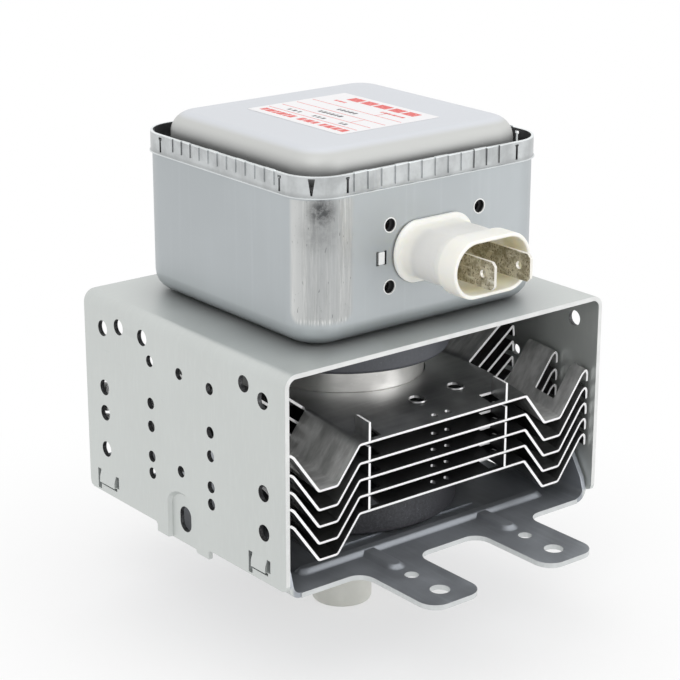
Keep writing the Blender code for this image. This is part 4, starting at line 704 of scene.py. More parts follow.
def make_yoke(material, sheared, shaded):
    low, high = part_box("yoke_upper")
    half = high.x
    depth = high.y
    sheet = 1.1 * MM
    walls = low.z + 2.3 * MM
    bm = bmesh.new()
    corners = [(-half, low.z), (-half, high.z), (half, high.z), (half, low.z)]
    verts = [bm.verts.new((x, -depth, z)) for x, z in corners]
    edges = [bm.edges.new(pair) for pair in zip(verts, verts[1:])]
    drawn = bmesh.ops.extrude_edge_only(bm, edges=edges)
    ends = new_ones(drawn, bmesh.types.BMVert)
    bmesh.ops.translate(bm, verts=ends, vec=(0, 2 * depth, 0))
    bmesh.ops.recalc_face_normals(bm, faces=bm.faces)
    top = max(bm.faces, key=lambda face: face.calc_center_median().z)
    if top.normal.z < 0:
        bmesh.ops.reverse_faces(bm, faces=bm.faces)
    rounded(bm, [edge for edge in bm.edges if len(edge.link_faces) == 2], 3.0 * MM, 8)
    bm = thickened(bm, sheet, -1)

    # Pressed arches low in the walls, each with an oval slot
    for wall in (-1, 1):
        base = walls + 0.25 * MM
        pad = arch(wall, base, 0.9 * MM, half - sheet - 1.0 * MM, half - sheet / 2)
        bm = combined(bm, pad, "UNION")
    for end in (-1, 1):
        trim = [(10.5, -5), (10.5, 1.7), (11.0, 2.3), (38.5, 2.3), (39.6, 2.7), (40.0, 3.8), (43, 3.8), (43, -5)]
        points = [(end * y * MM, low.z + z * MM) for y, z in trim]
        bm = combined(bm, slab(points, "X", -half - 2 * MM, half + 2 * MM))
    for wall in (-1, 1):
        press = arch(wall, low.z - 2 * MM, -0.5 * MM, half - 1.0 * MM, half + 1.0 * MM, 1.3 * MM)
        outside = [vert for vert in press.verts if abs(vert.co.x) > half]
        bmesh.ops.scale(press, vec=(1, 1.5, 1.15), verts=outside, space=Matrix.Translation((0, 0, 2 * MM - low.z)))
        bmesh.ops.translate(press, vec=(0, 0.8 * MM, 0), verts=press.verts)
        bmesh.ops.translate(press, vec=(0, -1.6 * MM, 0), verts=outside)
        bm = combined(bm, press)

    holes = bmesh.new()
    small = [(12, z) for z in (11.9, 16.15, 23.7, 29.4, 39.8)]
    large = [(32, 11.8), (32, 21.2), (32, 42.7), (25, 44.7)]
    for y, z, radius in [(y, z, 1.4) for y, z in small] + [(y, z, 1.95) for y, z in large]:
        for side in (-1, 1):
            rod(holes, (0, side * y * MM, walls + z * MM), radius * MM, 2 * half + 4 * MM, "X")
    for y, z, radius in ((0, 16.1, 1.4), (0, 40.0, 1.4), (32, 27.7, 1.95), (15, 44.7, 1.95)):
        rod(holes, (0, y * MM, walls + z * MM), radius * MM, 2 * half + 4 * MM, "X")
    bm = combined(bm, holes)
    ovals = block((-half - 2 * MM, -2.25 * MM, walls + 0.75 * MM), (half + 2 * MM, 2.25 * MM, walls + 7.05 * MM))
    rounded(ovals, [edge for edge in ovals.edges if run(edge, "x") > half], 2.2 * MM, 8)
    slots = [ovals]
    for y0, y1, low_z, high_z in ((-27.5, -26.1, 0.5, 5.7), (35.0, 36.4, 0.5, 5.7), (-34.2, -32.9, 2.7, 5.7),
                                  (27.1, 28.4, 2.7, 5.7)):
        slots.append(block((-half - 2 * MM, y0 * MM, walls + low_z * MM),
                           (half + 2 * MM, y1 * MM, walls + high_z * MM)))
    bm = combined(bm, merged(*slots))

    # The tongues between the slits are cut free along the bottom and pushed out a little
    tongues = []
    cuts = []
    for wall in (-1, 1):
        for y0, y1 in ((-32.9, -27.5), (28.4, 35.0)):
            bottom, hinge = walls + 2.5 * MM, walls + 5.6 * MM
            points = [(wall * (half - 0.4 * MM), bottom), (wall * (half + 0.5 * MM), bottom),
                      (wall * (half + 0.4 * MM), bottom + 1.6 * MM), (wall * (half - 0.05 * MM), hinge)]
            tongues.append(slab(points, "Y", (y0 + 0.05) * MM, (y1 - 0.05) * MM))
            near, far = sorted((wall * (half - 2.5 * MM), wall * (half + 2 * MM)))
            cuts.append(block((near, (y0 - 0.4) * MM, walls + 1.8 * MM), (far, (y1 + 0.4) * MM, bottom)))
    bm = combined(bm, merged(*tongues), "UNION")
    bm = combined(bm, merged(*cuts))
    neck = bmesh.new()
    rod(neck, (0, 0, high.z), 12.0 * MM, 8 * MM, "Z", 64)
    bm = combined(bm, neck)

    def is_end(face):
        return abs(face.normal.y) > 0.95 and abs(face.calc_center_median().y) > depth - 0.1 * MM

    def is_punched(face):
        middle = face.calc_center_median()
        round_hole = walls + 9 * MM < middle.z < high.z - 3.2 * MM and abs(middle.y) < depth - 1 * MM
        oval_hole = walls + 0.5 * MM < middle.z < walls + 8 * MM and abs(middle.y) < 2.3 * MM
        return abs(face.normal.x) < 0.3 and (round_hole or oval_hole)

    return finished("yoke_strap", bm, material, ["yoke_upper"], 0.0, 40,
                    [(sheared, is_end), (shaded, is_punched)])


def arch(wall, base, border, near, far, soft=1.6 * MM):
    """An arch standing in one side wall's thickness."""
    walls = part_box("yoke_upper")[0].z + 2.3 * MM
    half = 5.3 * MM + border
    shoulder = walls + 8.0 * MM + border
    crown = walls + 10.2 * MM + border
    points = [(-half, base), (half, base), (half, shoulder), (2.3 * MM + border, crown),
              (-2.3 * MM - border, crown), (-half, shoulder)]
    bm = slab(points, "X", *sorted((wall * near, wall * far)))
    shoulders = [edge for edge in bm.edges if run(edge, "x") > 0.1 * MM
                 and edge.verts[0].co.z > shoulder - 0.1 * MM]
    rounded(bm, shoulders, soft, 5)
    return bm


def make_plate(material, sheared):
    low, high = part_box("yoke_lower_plate")
    sheet = 1.2 * MM
    top = low.z + sheet
    bend = 3.2 * MM
    side = high.x - bend
    edge = 39.2 * MM
    tip = high.y
    bm = block((-side, -edge, low.z), (side, edge, top))
    for end in (-1, 1):
        for left, right in ((-25.3, -9.7), (9.7, 25.3)):
            near, far = sorted((end * (edge - 5 * MM), end * tip))
            bm = combined(bm, block((left * MM, near, low.z), (right * MM, far, top)), "UNION")

    def ear_corners(test):
        return [item for item in bm.edges if run(item, "z") > 0.5 * MM
                and abs(item.verts[0].co.x) < 26 * MM and test(abs(item.verts[0].co.y))]

    rounded(bm, ear_corners(lambda y: y > tip - 1 * MM), 4.5 * MM, 8)
    rounded(bm, ear_corners(lambda y: abs(y - edge) < 0.1 * MM), 4.0 * MM, 8)

    # The sides bend up into flanges inside the walls, with sloping ends
    for wall in (-1, 1):
        for end in (-1, 1):
            flange = bmesh.new()
            path = [(wall * (side - 2 * MM), low.z), (wall * high.x, low.z), (wall * high.x, low.z + 14 * MM)]
            verts = [flange.verts.new((x, end * 11 * MM, z)) for x, z in path]
            edges = [flange.edges.new(pair) for pair in zip(verts, verts[1:])]
            drawn = bmesh.ops.extrude_edge_only(flange, edges=edges)
            ends = new_ones(drawn, bmesh.types.BMVert)
            bmesh.ops.translate(flange, verts=ends, vec=(0, end * 30 * MM, 0))
            rounded(flange, [item for item in flange.edges if len(item.link_faces) == 2], bend, 8)
            bmesh.ops.recalc_face_normals(flange, faces=flange.faces)
            flange.normal_update()
            if min(flange.faces, key=lambda face: face.calc_center_median().z).normal.z > 0:
                bmesh.ops.reverse_faces(flange, faces=flange.faces)
            flange = thickened(flange, sheet, -1)
            bmesh.ops.recalc_face_normals(flange, faces=flange.faces)
            points = [(12.0, -1), (38.9, -1), (38.9, 2.7), (37.9, 6.0), (36.6, 8.0), (33.9, 12.4), (12.0, 12.4)]
            points = [(end * y * MM, low.z + z * MM) for y, z in points]
            faces = sorted((wall * (high.x + 1 * MM), wall * (side - 5 * MM)))
            flange = combined(flange, slab(points, "X", *faces), "INTERSECT")
            bm = combined(bm, flange, "UNION")

    # Magnet seat, cross beads and the short ribs that run out on the ears
    seat = block((-20.5 * MM, -25.1 * MM, top - 0.3 * MM), (20.5 * MM, 25.1 * MM, top + 0.3 * MM))
    bm = combined(bm, seat, "UNION")
    row = edge - 8.4 * MM
    for end in (-1, 1):
        bm = combined(bm, bead((0, end * row), 38.0 * MM, 2.2 * MM, top, 1.2 * MM), "UNION")
        for x in (-17.5 * MM, 17.5 * MM):
            middle = row + 6.4 * MM - 1.35 * MM
            bm = combined(bm, bead((x, end * middle), 2.7 * MM, 7.75 * MM, top, 1.0 * MM), "UNION")
    holes = bmesh.new()
    for end in (-1, 1):
        for x in (-17.5 * MM, 17.5 * MM):
            rod(holes, (x, end * (tip - 6.5 * MM), top), 2.3 * MM, 6 * MM, "Z", 40)
            rod(holes, (x, end * (tip - 16.1 * MM), top), 1.65 * MM, 6 * MM, "Z", 32)
    rod(holes, (0, 0, top), 12.0 * MM, 6 * MM, "Z", 64)
    bm = combined(bm, holes)

    def is_rim(face):
        middle = face.calc_center_median()
        return abs(face.normal.z) < 0.6 and low.z < middle.z < top - 0.1 * MM and abs(middle.x) < side + 0.1 * MM

    return finished("ear_plate", bm, material, ["yoke_lower_plate"], 0.0, 40, [(sheared, is_rim)])


def bead(centre, half_x, half_y, base, height):
    """A pressed bead with round ends, doming up in small steps."""
    x, y = centre
    bm = block((x - half_x, y - half_y, base - 0.25 * MM), (x + half_x, y + half_y, base))
    corners = [edge for edge in bm.edges if run(edge, "z") > 0.2 * MM]
    rounded(bm, corners, min(half_x, half_y) * 0.92, 8)
    face = max(bm.faces, key=lambda item: item.calc_center_median().z)
    for inwards, rise in ((0.25, 0.06), (0.30, 0.26), (0.30, 0.30), (0.25, 0.22), (0.20, 0.12), (0.15, 0.04)):
        face, ends = carried(bm, face)
        factor = ((half_x - inwards * MM) / half_x, (half_y - inwards * MM) / half_y, 1)
        bmesh.ops.scale(bm, vec=factor, verts=ends, space=Matrix.Translation((-x, -y, 0)))
        bmesh.ops.translate(bm, vec=(0, 0, rise * height), verts=ends)
        half_x, half_y = half_x - inwards * MM, half_y - inwards * MM
    return bm


# Fins

def droop(y):
    reach = max(0.0, abs(y) - FIN_LEVEL) / (FIN_HALF_DEPTH - FIN_LEVEL)
    return FIN_DROOP * reach ** 1.6


def pull(bm, edges, step):
    """Draw edges out by a step and give back their copies."""
    drawn = bmesh.ops.extrude_edge_only(bm, edges=edges)
    ends = new_ones(drawn, bmesh.types.BMVert)
    bmesh.ops.translate(bm, verts=ends, vec=[part * MM for part in step])
    return new_ones(drawn, bmesh.types.BMEdge)


def in_notch(edge):
    return all(NOTCH_BACK - 0.1 * MM < abs(vert.co.y) < NOTCH_FRONT + 0.1 * MM for vert in edge.verts)


def fin_blank():
    """The bent sheet before its holes: flat middle, V-folded end wings, raised middle wings."""
    half = [38, 36, 34, 33, 30, 27.5, 25, 21.5, 18.5, 17.5, 8.8]
    rows = [-y * MM for y in half] + [0.0] + [y * MM for y in half[::-1]]
    bm = bmesh.new()
    column = [bm.verts.new((-FIN_FOLD, y, -droop(y))) for y in rows]
    edges = [bm.edges.new(pair) for pair in zip(column, column[1:])]
    right = pull(bm, edges, (2 * FIN_FOLD / MM, 0, 0))
    left = [edge for edge in bm.edges if edge.is_boundary
            and all(vert.co.x < -FIN_FOLD + 0.01 * MM for vert in edge.verts)]
    for side, border in ((-1, left), (1, right)):
        outer = [edge for edge in border if all(abs(vert.co.y) > FIN_FOLDED - 0.1 * MM for vert in edge.verts)]
        middle = [edge for edge in border if all(abs(vert.co.y) < FIN_LEVEL + 0.1 * MM for vert in edge.verts)]
        for step in ((6.3, -8.1), (5.2, 0), (1.8, 2.47)):
            outer = pull(bm, outer, (side * step[0], 0, step[1]))
        outer = [edge for edge in outer if not in_notch(edge)]
        for step in ((5.2, 7.13), (1.13, 0.8), (0.57, -0.8), (0, -2.1)):
            outer = pull(bm, outer, (side * step[0], 0, step[1]))
        middle = pull(bm, middle, (side * 14.7, 0, 11.1))
        pull(bm, middle, (side * 0.3, 0, -2.6))
    bmesh.ops.recalc_face_normals(bm, faces=bm.faces)
    flat = min(bm.faces, key=lambda face: face.calc_center_median().length)
    if flat.normal.z < 0:
        bmesh.ops.reverse_faces(bm, faces=bm.faces)
    folds = [edge for edge in bm.edges if len(edge.link_faces) == 2 and edge.calc_face_angle() > math.radians(12)]
    rounded(bm, folds, 0.40 * MM, 3)
    return thickened(bm, FIN_SHEET, 0)


def fin_shape(tab_top, tab_rise):
    """One fin with its collar, lanced tabs, vents and punched holes."""
    bm = fin_blank()
    hub = 20.1 * MM
    collar = bmesh.new()
    rod(collar, (0, 0, -1.7 * MM), hub + FIN_SHEET, 3.4 * MM, "Z", 96)
    bm = combined(bm, collar, "UNION")
    for end in (-1, 1):
        for x in (TAB_LEFT, TAB_RIGHT):
            points = [(FIN_HALF_DEPTH, -droop(FIN_HALF_DEPTH)), (TAB_BACK, -droop(TAB_BACK)),
                      (TAB_BACK, tab_top + tab_rise), (FIN_HALF_DEPTH, tab_top)]
            tab = slab([(end * y, z) for y, z in points], "X", x - FIN_SHEET / 2, x + FIN_SHEET / 2)
            back = [edge for edge in tab.edges if run(edge, "x") > 0.1 * MM
                    and edge.verts[0].co.z > 0.2 * MM and abs(edge.verts[0].co.y) < TAB_BACK + 0.1 * MM]
            rounded(tab, back, 0.7 * MM, 3)
            bm = combined(bm, tab, "UNION")
    cuts = bmesh.new()
    rod(cuts, (0, 0, -4 * MM), hub, 16 * MM, "Z", 96)
    for x, y, radius in ((0.0, 27.8, 2.0), (12.7, 26.8, 2.0), (-1.4, 35.7, 0.8), (2.7, 35.7, 0.8)):
        rod(cuts, (x * MM, -y * MM, -2 * MM), radius * MM, 12 * MM, "Z", 32)
    bm = combined(bm, cuts)
    slots = []
    for end in (-1, 1):
        near, far = sorted((end * 37.0 * MM, end * TAB_BACK))
        beside = FIN_SHEET / 2 + 0.05 * MM
        for start, reach in ((TAB_LEFT + beside, 3.8 * MM), (TAB_RIGHT - beside, -3.8 * MM)):
            left, right = sorted((start, start + reach))
            slots.append(block((left, near, -9 * MM), (right, far, 0.35 * MM)))
    bm = combined(bm, merged(*slots))

    # Each vent keeps the raised burr of its punch
    for x, y in ((0.0, 27.8), (12.7, 26.8)):
        height = FIN_SHEET / 2 - droop(y * MM)
        burr = turned([(1.95 * MM, height - 0.2 * MM), (2.3 * MM, height - 0.2 * MM), (2.18 * MM, height + 0.16 * MM),
                       (1.95 * MM, height + 0.2 * MM)], 32)
        bmesh.ops.translate(burr, verts=burr.verts, vec=(x * MM, -y * MM, 0))
        bm = merged(bm, burr)
    return bm


def make_fins(top_finish, lower_finish, sheared):
    shapes = {"top": fin_shape(2.0 * MM, 0.6 * MM), "lower": fin_shape(0.7 * MM, 0.0)}
    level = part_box("anode_cylinder")[1].z - 5.3 * MM

    def is_cut(face):
        middle = face.calc_center_median()
        on_tab = min(abs(middle.x - TAB_LEFT), abs(middle.x - TAB_RIGHT)) < FIN_SHEET / 2 and abs(middle.y) > 32 * MM
        return abs(face.normal.y) > 0.93 or (on_tab and face.normal.z > 0.6)

    for index in range(1, 6):
        bm = shapes["top" if index == 1 else "lower"].copy()
        bmesh.ops.translate(bm, verts=bm.verts, vec=(0, 0, level))
        finished(f"fin_plate_{index}", bm, top_finish if index == 1 else lower_finish,
                 [f"cooling_fin_{index}"], 0.0, 38, [(sheared, is_cut)])
        level -= (4.5 if index == 1 else 4.0) * MM
    for shape in shapes.values():
        shape.free()


# Filter box, lid and label

def can(half_x, half_y, low, high, corner, base_round, steps=10):
    """A drawn can with rounded corners and a rounded floor, open above."""
    bm = block((-half_x, BOX_SHIFT - half_y, low), (half_x, BOX_SHIFT + half_y, high))
    upright = [edge for edge in bm.edges if run(edge, "z") > base_round]
    rounded(bm, upright, corner, steps)
    rounded(bm, picked(bm, lambda p: p.z < low + 0.01 * MM), base_round, 6)
    lids = [face for face in bm.faces if face.normal.z > 0.99 and face.calc_center_median().z > high - 0.1 * MM]
    bmesh.ops.delete(bm, geom=lids, context="FACES_ONLY")
    return bm


def widened(bm, edges, grow, rise):
    """Draw a loop outwards and up, as a rolled rim is."""
    drawn = bmesh.ops.extrude_edge_only(bm, edges=edges)
    ends = new_ones(drawn, bmesh.types.BMVert)
    reach_x = max(vert.co.x for vert in ends)
    reach_y = max(vert.co.y for vert in ends) - BOX_SHIFT
    bmesh.ops.scale(bm, vec=((reach_x + grow) / reach_x, (reach_y + grow) / reach_y, 1), verts=ends,
                    space=Matrix.Translation((0, -BOX_SHIFT, 0)))
    bmesh.ops.translate(bm, verts=ends, vec=(0, 0, rise))
    return new_ones(drawn, bmesh.types.BMEdge)


def shingles(ledge, top, band):
    """Crimped panels round the rim: each stands out a little more along its length and ends in a step."""
    panels = []
    sides = ((lambda along, out: (along, BOX_SHIFT - band[1] - out), 23.1, 3.85, 1.0),
             (lambda along, out: (-along, BOX_SHIFT + band[1] + out), 23.1, 3.85, 1.0),
             (lambda along, out: (-band[0] - out, BOX_SHIFT - along), 21.2, 3.533, 1.9),
             (lambda along, out: (band[0] + out, BOX_SHIFT + along), 21.2, 3.533, 1.9))
    for side, (place, reach, pitch, foot) in enumerate(sides):
        proud = 0.30 if side < 2 else 0.20
        for index in range(12):
            start = -reach * MM + index * pitch * MM
            end = start + (pitch - 0.1) * MM
            head = top + (0.16 - 0.13 * ((index * 5 + side) % 3)) * MM
            if side == 0:
                start, end = end, start
            profile = [(start, -0.4), (end, -0.4), (end, proud), ((start + 2 * end) / 3, 0.8 * proud), (start, 0.0)]
            panels.append(slab([place(along, out * MM) for along, out in profile], "Z", ledge + foot * MM, head))
    return merged(*panels)


def make_box(material, rim_material, inner_rim, bright, shaded):
    low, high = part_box("filter_box")
    sheet = 0.6 * MM
    ledge = low.z + 33.7 * MM
    bm = can(*BOX_HALF, low.z, ledge, 9.0 * MM, 5.0 * MM)
    rim = [edge for edge in bm.edges if edge.is_boundary]
    rim = widened(bm, rim, 0.5 * MM, 0.18 * MM)
    rim = widened(bm, rim, 0.0, 0.18 * MM)
    rim = widened(bm, rim, -0.2 * MM, 0.14 * MM)
    widened(bm, rim, 0.0, high.z - ledge - 0.5 * MM)
    bmesh.ops.recalc_face_normals(bm, faces=bm.faces)
    floor = min(bm.faces, key=lambda face: face.calc_center_median().z)
    if floor.normal.z > 0:
        bmesh.ops.reverse_faces(bm, faces=bm.faces)
    bm = thickened(bm, sheet, -1)
    band = (BOX_HALF[0] + 0.3 * MM, BOX_HALF[1] + 0.3 * MM)
    bm = combined(bm, shingles(ledge, high.z, band), "UNION")

    # Slits beside the corners and a V notch at each
    slits = []
    for a in (-1, 1):
        for b in (-1, 1):
            x = a * 24.8 * MM
            near, far = sorted((BOX_SHIFT + b * (band[1] - 1.6 * MM), BOX_SHIFT + b * (band[1] + 2 * MM)))
            slits.append(block((x - 0.32 * MM, near, ledge + 0.9 * MM), (x + 0.32 * MM, far, high.z - 0.7 * MM)))
            slits.append(block((x - 0.5 * MM, near, high.z - 1.1 * MM), (x + 0.5 * MM, far, high.z - 0.65 * MM)))
            y = BOX_SHIFT + a * 22.9 * MM
            near, far = sorted((b * (band[0] - 1.6 * MM), b * (band[0] + 2 * MM)))
            slits.append(block((near, y - 0.32 * MM, ledge + 0.9 * MM), (far, y + 0.32 * MM, high.z - 0.7 * MM)))
            slits.append(block((near, y - 0.6 * MM, high.z - 1.3 * MM), (far, y + 0.6 * MM, high.z - 0.65 * MM)))
            flank = [(0.2 * MM, ledge + 0.9 * MM), (0.55 * MM, high.z - 1.9 * MM), (0.8 * MM, high.z - 0.45 * MM)]
            other_flank = [(-across, height) for across, height in flank[::-1]]
            notch = slab(flank + other_flank, "Y", 4.5 * MM, 12.0 * MM)
            centre = Vector((a * (BOX_HALF[0] - 9 * MM), BOX_SHIFT + b * (BOX_HALF[1] - 9 * MM), 0))
            turn = Matrix.Rotation(math.atan2(b, a) - math.pi / 2, 4, "Z")
            bmesh.ops.transform(notch, matrix=Matrix.Translation(centre) @ turn, verts=notch.verts)
            slits.append(notch)
    for tool in slits:
        bm = combined(bm, tool)

    # Front wall: socket opening, rivet holes and the small window
    holes = bmesh.new()
    level = low.z + 18.3 * MM
    rivets = [(x * MM, level + z * MM) for x in (-12.6, 13.8) for z in (-7.1, 7.1)]
    for x, z in rivets:
        rod(holes, (x, SOCKET_FRONT, z), 1.55 * MM, 6 * MM, "Y", 32)
    rod(holes, (0, 0, low.z), 12.0 * MM, 6 * MM, "Z", 64)
    bm = combined(bm, holes)
    outside, inside = SOCKET_FRONT - 2 * MM, SOCKET_FRONT + 3 * MM
    opening = block((-10.6 * MM, outside, level - 6.0 * MM), (10.6 * MM, inside, level + 6.0 * MM))
    through = [edge for edge in opening.edges if run(edge, "y") > 2 * MM]
    rounded(opening, through, 5.9 * MM, 10)
    windows = [block((x * MM, outside, level - 1.7 * MM), ((x + 0.8) * MM, inside, level + 1.5 * MM))
               for x in (-16.45, -14.35)]
    bm = combined(bm, merged(opening, *windows))

    def is_rim(face):
        return face.calc_center_median().z > ledge - 0.05 * MM

    def is_inner_rim(face):
        middle = face.calc_center_median()
        return is_rim(face) and face.normal.x * middle.x + face.normal.y * (middle.y - BOX_SHIFT) < -8 * MM

    def is_punched(face):
        middle = face.calc_center_median()
        return abs(face.normal.y) < 0.3 and middle.y < SOCKET_FRONT + 0.7 * MM and abs(middle.x) < 17 * MM \
            and abs(middle.z - level) < 9 * MM

    finished("drawn_box", bm, material, ["filter_box"], 0.0, 34,
             [(inner_rim, is_inner_rim), (rim_material, is_rim), (shaded, is_punched)])

    # Burrs round the rivet holes, and the bright bridge of the window, in the pale cut-edge finish that is partly a
    # painted highlight
    bridge = block((-15.85 * MM, SOCKET_FRONT - 0.3 * MM, level - 1.5 * MM),
                   (-14.2 * MM, SOCKET_FRONT + 0.3 * MM, level + 1.3 * MM))
    rounded(bridge, picked(bridge, lambda p: p.y < SOCKET_FRONT), 0.2 * MM, 3)
    trims = [bridge]
    for x, z in rivets:
        burr = turned([(1.52 * MM, -0.15 * MM), (1.8 * MM, -0.15 * MM),
                       (1.76 * MM, 0.06 * MM), (1.52 * MM, 0.08 * MM)], 32)
        bmesh.ops.rotate(burr, verts=burr.verts, matrix=Matrix.Rotation(math.pi / 2, 3, "X"))
        bmesh.ops.translate(burr, verts=burr.verts, vec=(x, SOCKET_FRONT, z))
        trims.append(burr)
    finished("punched_rims", merged(*trims), bright, smooth=30)


def make_lid(material):
    low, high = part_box("filter_box_lid")
    sheet = 0.7 * MM
    half_x = high.x - 3.0 * MM
    half_y = high.y - BOX_SHIFT - 3.0 * MM
    bm = block((-half_x, BOX_SHIFT - half_y, low.z + sheet), (half_x, BOX_SHIFT + half_y, high.z))
    rounded(bm, [edge for edge in bm.edges if run(edge, "z") > 2 * MM], 8.5 * MM, 12)
    rounded(bm, picked(bm, lambda p: p.z > high.z - 0.01 * MM), 5.0 * MM, 10)
    floors = [face for face in bm.faces if face.calc_center_median().z < low.z + sheet + 0.1 * MM]
    bmesh.ops.delete(bm, geom=floors, context="FACES_ONLY")
    rim = [edge for edge in bm.edges if edge.is_boundary]
    widened(bm, rim, 3.0 * MM, 0.0)
    bmesh.ops.recalc_face_normals(bm, faces=bm.faces)
    top = max(bm.faces, key=lambda face: face.calc_center_median().z)
    if top.normal.z < 0:
        bmesh.ops.reverse_faces(bm, faces=bm.faces)
    bm = thickened(bm, sheet, -1)
    return finished("pressed_lid", bm, material, ["filter_box_lid"], 0.0, 50)


def printed_row(x0, x1, y, lengths, gap, face):
    """A row of short plain bars, read as print from afar."""
    bars = []
    for length in lengths:
        bars.append(block((x0 * MM, y * MM, face), (x1 * MM, (y + length) * MM, face + 0.015 * MM)))
        y += length + gap
    return bars


def make_label(paper, red, black):
    """A plain white sticker with red ruled lines, and rows of plain bars where print would be."""
    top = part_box("filter_box_lid")[1].z + 0.02 * MM
    half_x = 14.7 * MM
    half_y = 17.45 * MM
    bm = block((-half_x, -half_y, top), (half_x, half_y, top + 0.07 * MM))
    rounded(bm, [edge for edge in bm.edges if run(edge, "z") > 0.03 * MM], 0.5 * MM, 4)
    finished("lid_sticker", bm, paper, edge=0.02 * MM)
    face = top + 0.066 * MM
    rules = [block((x0 * MM, y0 * MM, face), (x1 * MM, y1 * MM, face + 0.015 * MM)) for x0, y0, x1, y1 in (
        (3.8, -16.4, 4.05, 16.4), (-0.9, -16.4, -0.65, 16.4), (-5.3, -16.4, -5.05, 16.4), (-9.2, -16.4, -8.95, 16.4),
        (3.8, -7.3, 8.4, -7.05), (-5.3, -9.3, -0.65, -9.05))]
    rules += printed_row(9.9, 12.9, -13.4, (4.2, 4.0, 4.4, 4.0, 4.2), 0.9, face)
    rules += printed_row(7.0, 8.0, -13.2, (1.2, 0.8, 1.5, 0.9, 1.3, 0.7), 0.35, face)
    rules += printed_row(7.0, 8.0, 8.2, (0.9, 1.4, 1.0), 0.35, face)
    rules += printed_row(-12.7, -10.5, -15.8, (2.1, 1.9, 2.2, 1.6), 0.45, face)
    rules += printed_row(-12.7, -10.5, -5.2, (1.4, 2.3, 1.9), 0.5, face)
    rules += printed_row(-12.7, -10.5, 3.4, (1.7, 1.2, 2.0, 1.4, 2.2, 1.5), 0.4, face)
    finished("sticker_bars", merged(*rules), red)
    dashes = printed_row(1.0, 2.3, -3.0, (0.9, 1.1, 0.9, 1.0, 0.8), 0.5, face)
    dashes += printed_row(-3.6, -2.3, -3.4, (1.1, 0.9, 1.0, 0.8, 1.2, 0.9), 0.5, face)
    dashes += printed_row(-7.9, -6.7, -10.5, (1.0, 0.8), 0.6, face)
    dashes += printed_row(-7.9, -6.7, -2.5, (0.9, 1.1, 0.8), 0.7, face)
    dashes += printed_row(-7.9, -6.7, 6.5, (0.8, 1.0, 0.9), 1.0, face)
    finished("sticker_dashes", merged(*dashes), black)


# Socket and blades

def stadium_plug(half_x, half_z, y, level):
    """A thin stadium-shaped start for the socket's stepped body."""
    bm = block((-half_x, y - 0.2 * MM, level - half_z), (half_x, y, level + half_z))
    long_edges = [edge for edge in bm.edges if run(edge, "y") > 0.1 * MM]
    rounded(bm, long_edges, half_z * 0.998, 14)
    return bm


def stepped(bm, level, steps):
    """Carry the front face forward through steps of growth and travel."""
    face = min(bm.faces, key=lambda item: item.calc_center_median().y)
    for grow, travel in steps:
        face, ends = carried(bm, face)
        reach_x = max(vert.co.x for vert in ends)
        reach_z = max(vert.co.z for vert in ends) - level
        factor = ((reach_x + grow * MM) / reach_x, 1, (reach_z + grow * MM) / reach_z)
        bmesh.ops.scale(bm, vec=factor, verts=ends, space=Matrix.Translation((0, 0, -level)))
        bmesh.ops.translate(bm, verts=ends, vec=(0, -travel * MM, 0))


def make_socket(material):
    low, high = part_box("capacitor_housing")
    level = (low.z + high.z) / 2
    bm = stadium_plug(10.25 * MM, 5.65 * MM, high.y, level)
    to_wall = (high.y - 0.2 * MM - (SOCKET_FRONT - CLEAR)) / MM
    stepped(bm, level, [(0, to_wall), (1.55, 0.0), (0, 0.42), (-0.16, 0.2), (-0.75, 0.06), (-0.24, 0.26), (-0.2, 0.6),
                        (0.0, 10.2), (0.05, 0.3), (0.35, 1.1), (0.3, 0.9), (0.1, 0.5), (0.0, 4.86), (-0.1, 0.22),
                        (-0.22, 0.13), (-0.38, 0.0), (-0.12, -0.12), (-0.08, -0.3), (0, -10), (0, -5.2)])
    slots = []
    for x in (-5.25 * MM, 5.25 * MM):
        slots.append(block((x - 0.7 * MM, -40 * MM, level - 3.475 * MM),
                           (x + 0.7 * MM, high.y + 3 * MM, level + 3.475 * MM)))
    bm = combined(bm, merged(*slots))
    return finished("socket_shell", bm, material, ["capacitor_housing"], 0.0, 45)


def make_blades(material, sheared):
    for name in ("left", "right"):
        low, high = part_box(f"terminal_tab_{name}")
        bm = block(low, high)
        nose = [edge for edge in bm.edges if all(vert.co.y < low.y + 0.1 * MM for vert in edge.verts)]
        corners = [edge for edge in nose if run(edge, "x") > 0.1 * MM]
        rounded(bm, corners, 0.9 * MM, 1)
        hole = bmesh.new()
        centre = ((low.x + high.x) / 2, low.y + 3.6 * MM, (low.z + high.z) / 2)
        rod(hole, centre, 0.85 * MM, 4 * MM, "X", 32)
        bm = combined(bm, hole)
        finished(f"blade_{name}", bm, material, [f"terminal_tab_{name}"], 0.13 * MM, 38,
                 [(sheared, lambda face: abs(face.normal.x) < 0.5)])


# Round pieces

def make_magnet(node, name, material):
    low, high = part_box(node)
    radius = high.x
    chamfer = 0.7 * MM
    profile = [(12.0 * MM, low.z), (radius - chamfer, low.z), (radius, low.z + chamfer),
               (radius, high.z - chamfer), (radius - chamfer, high.z), (12.0 * MM, high.z)]
    finished(name, turned(profile, 128), material, [node], 0.15 * MM, 30)


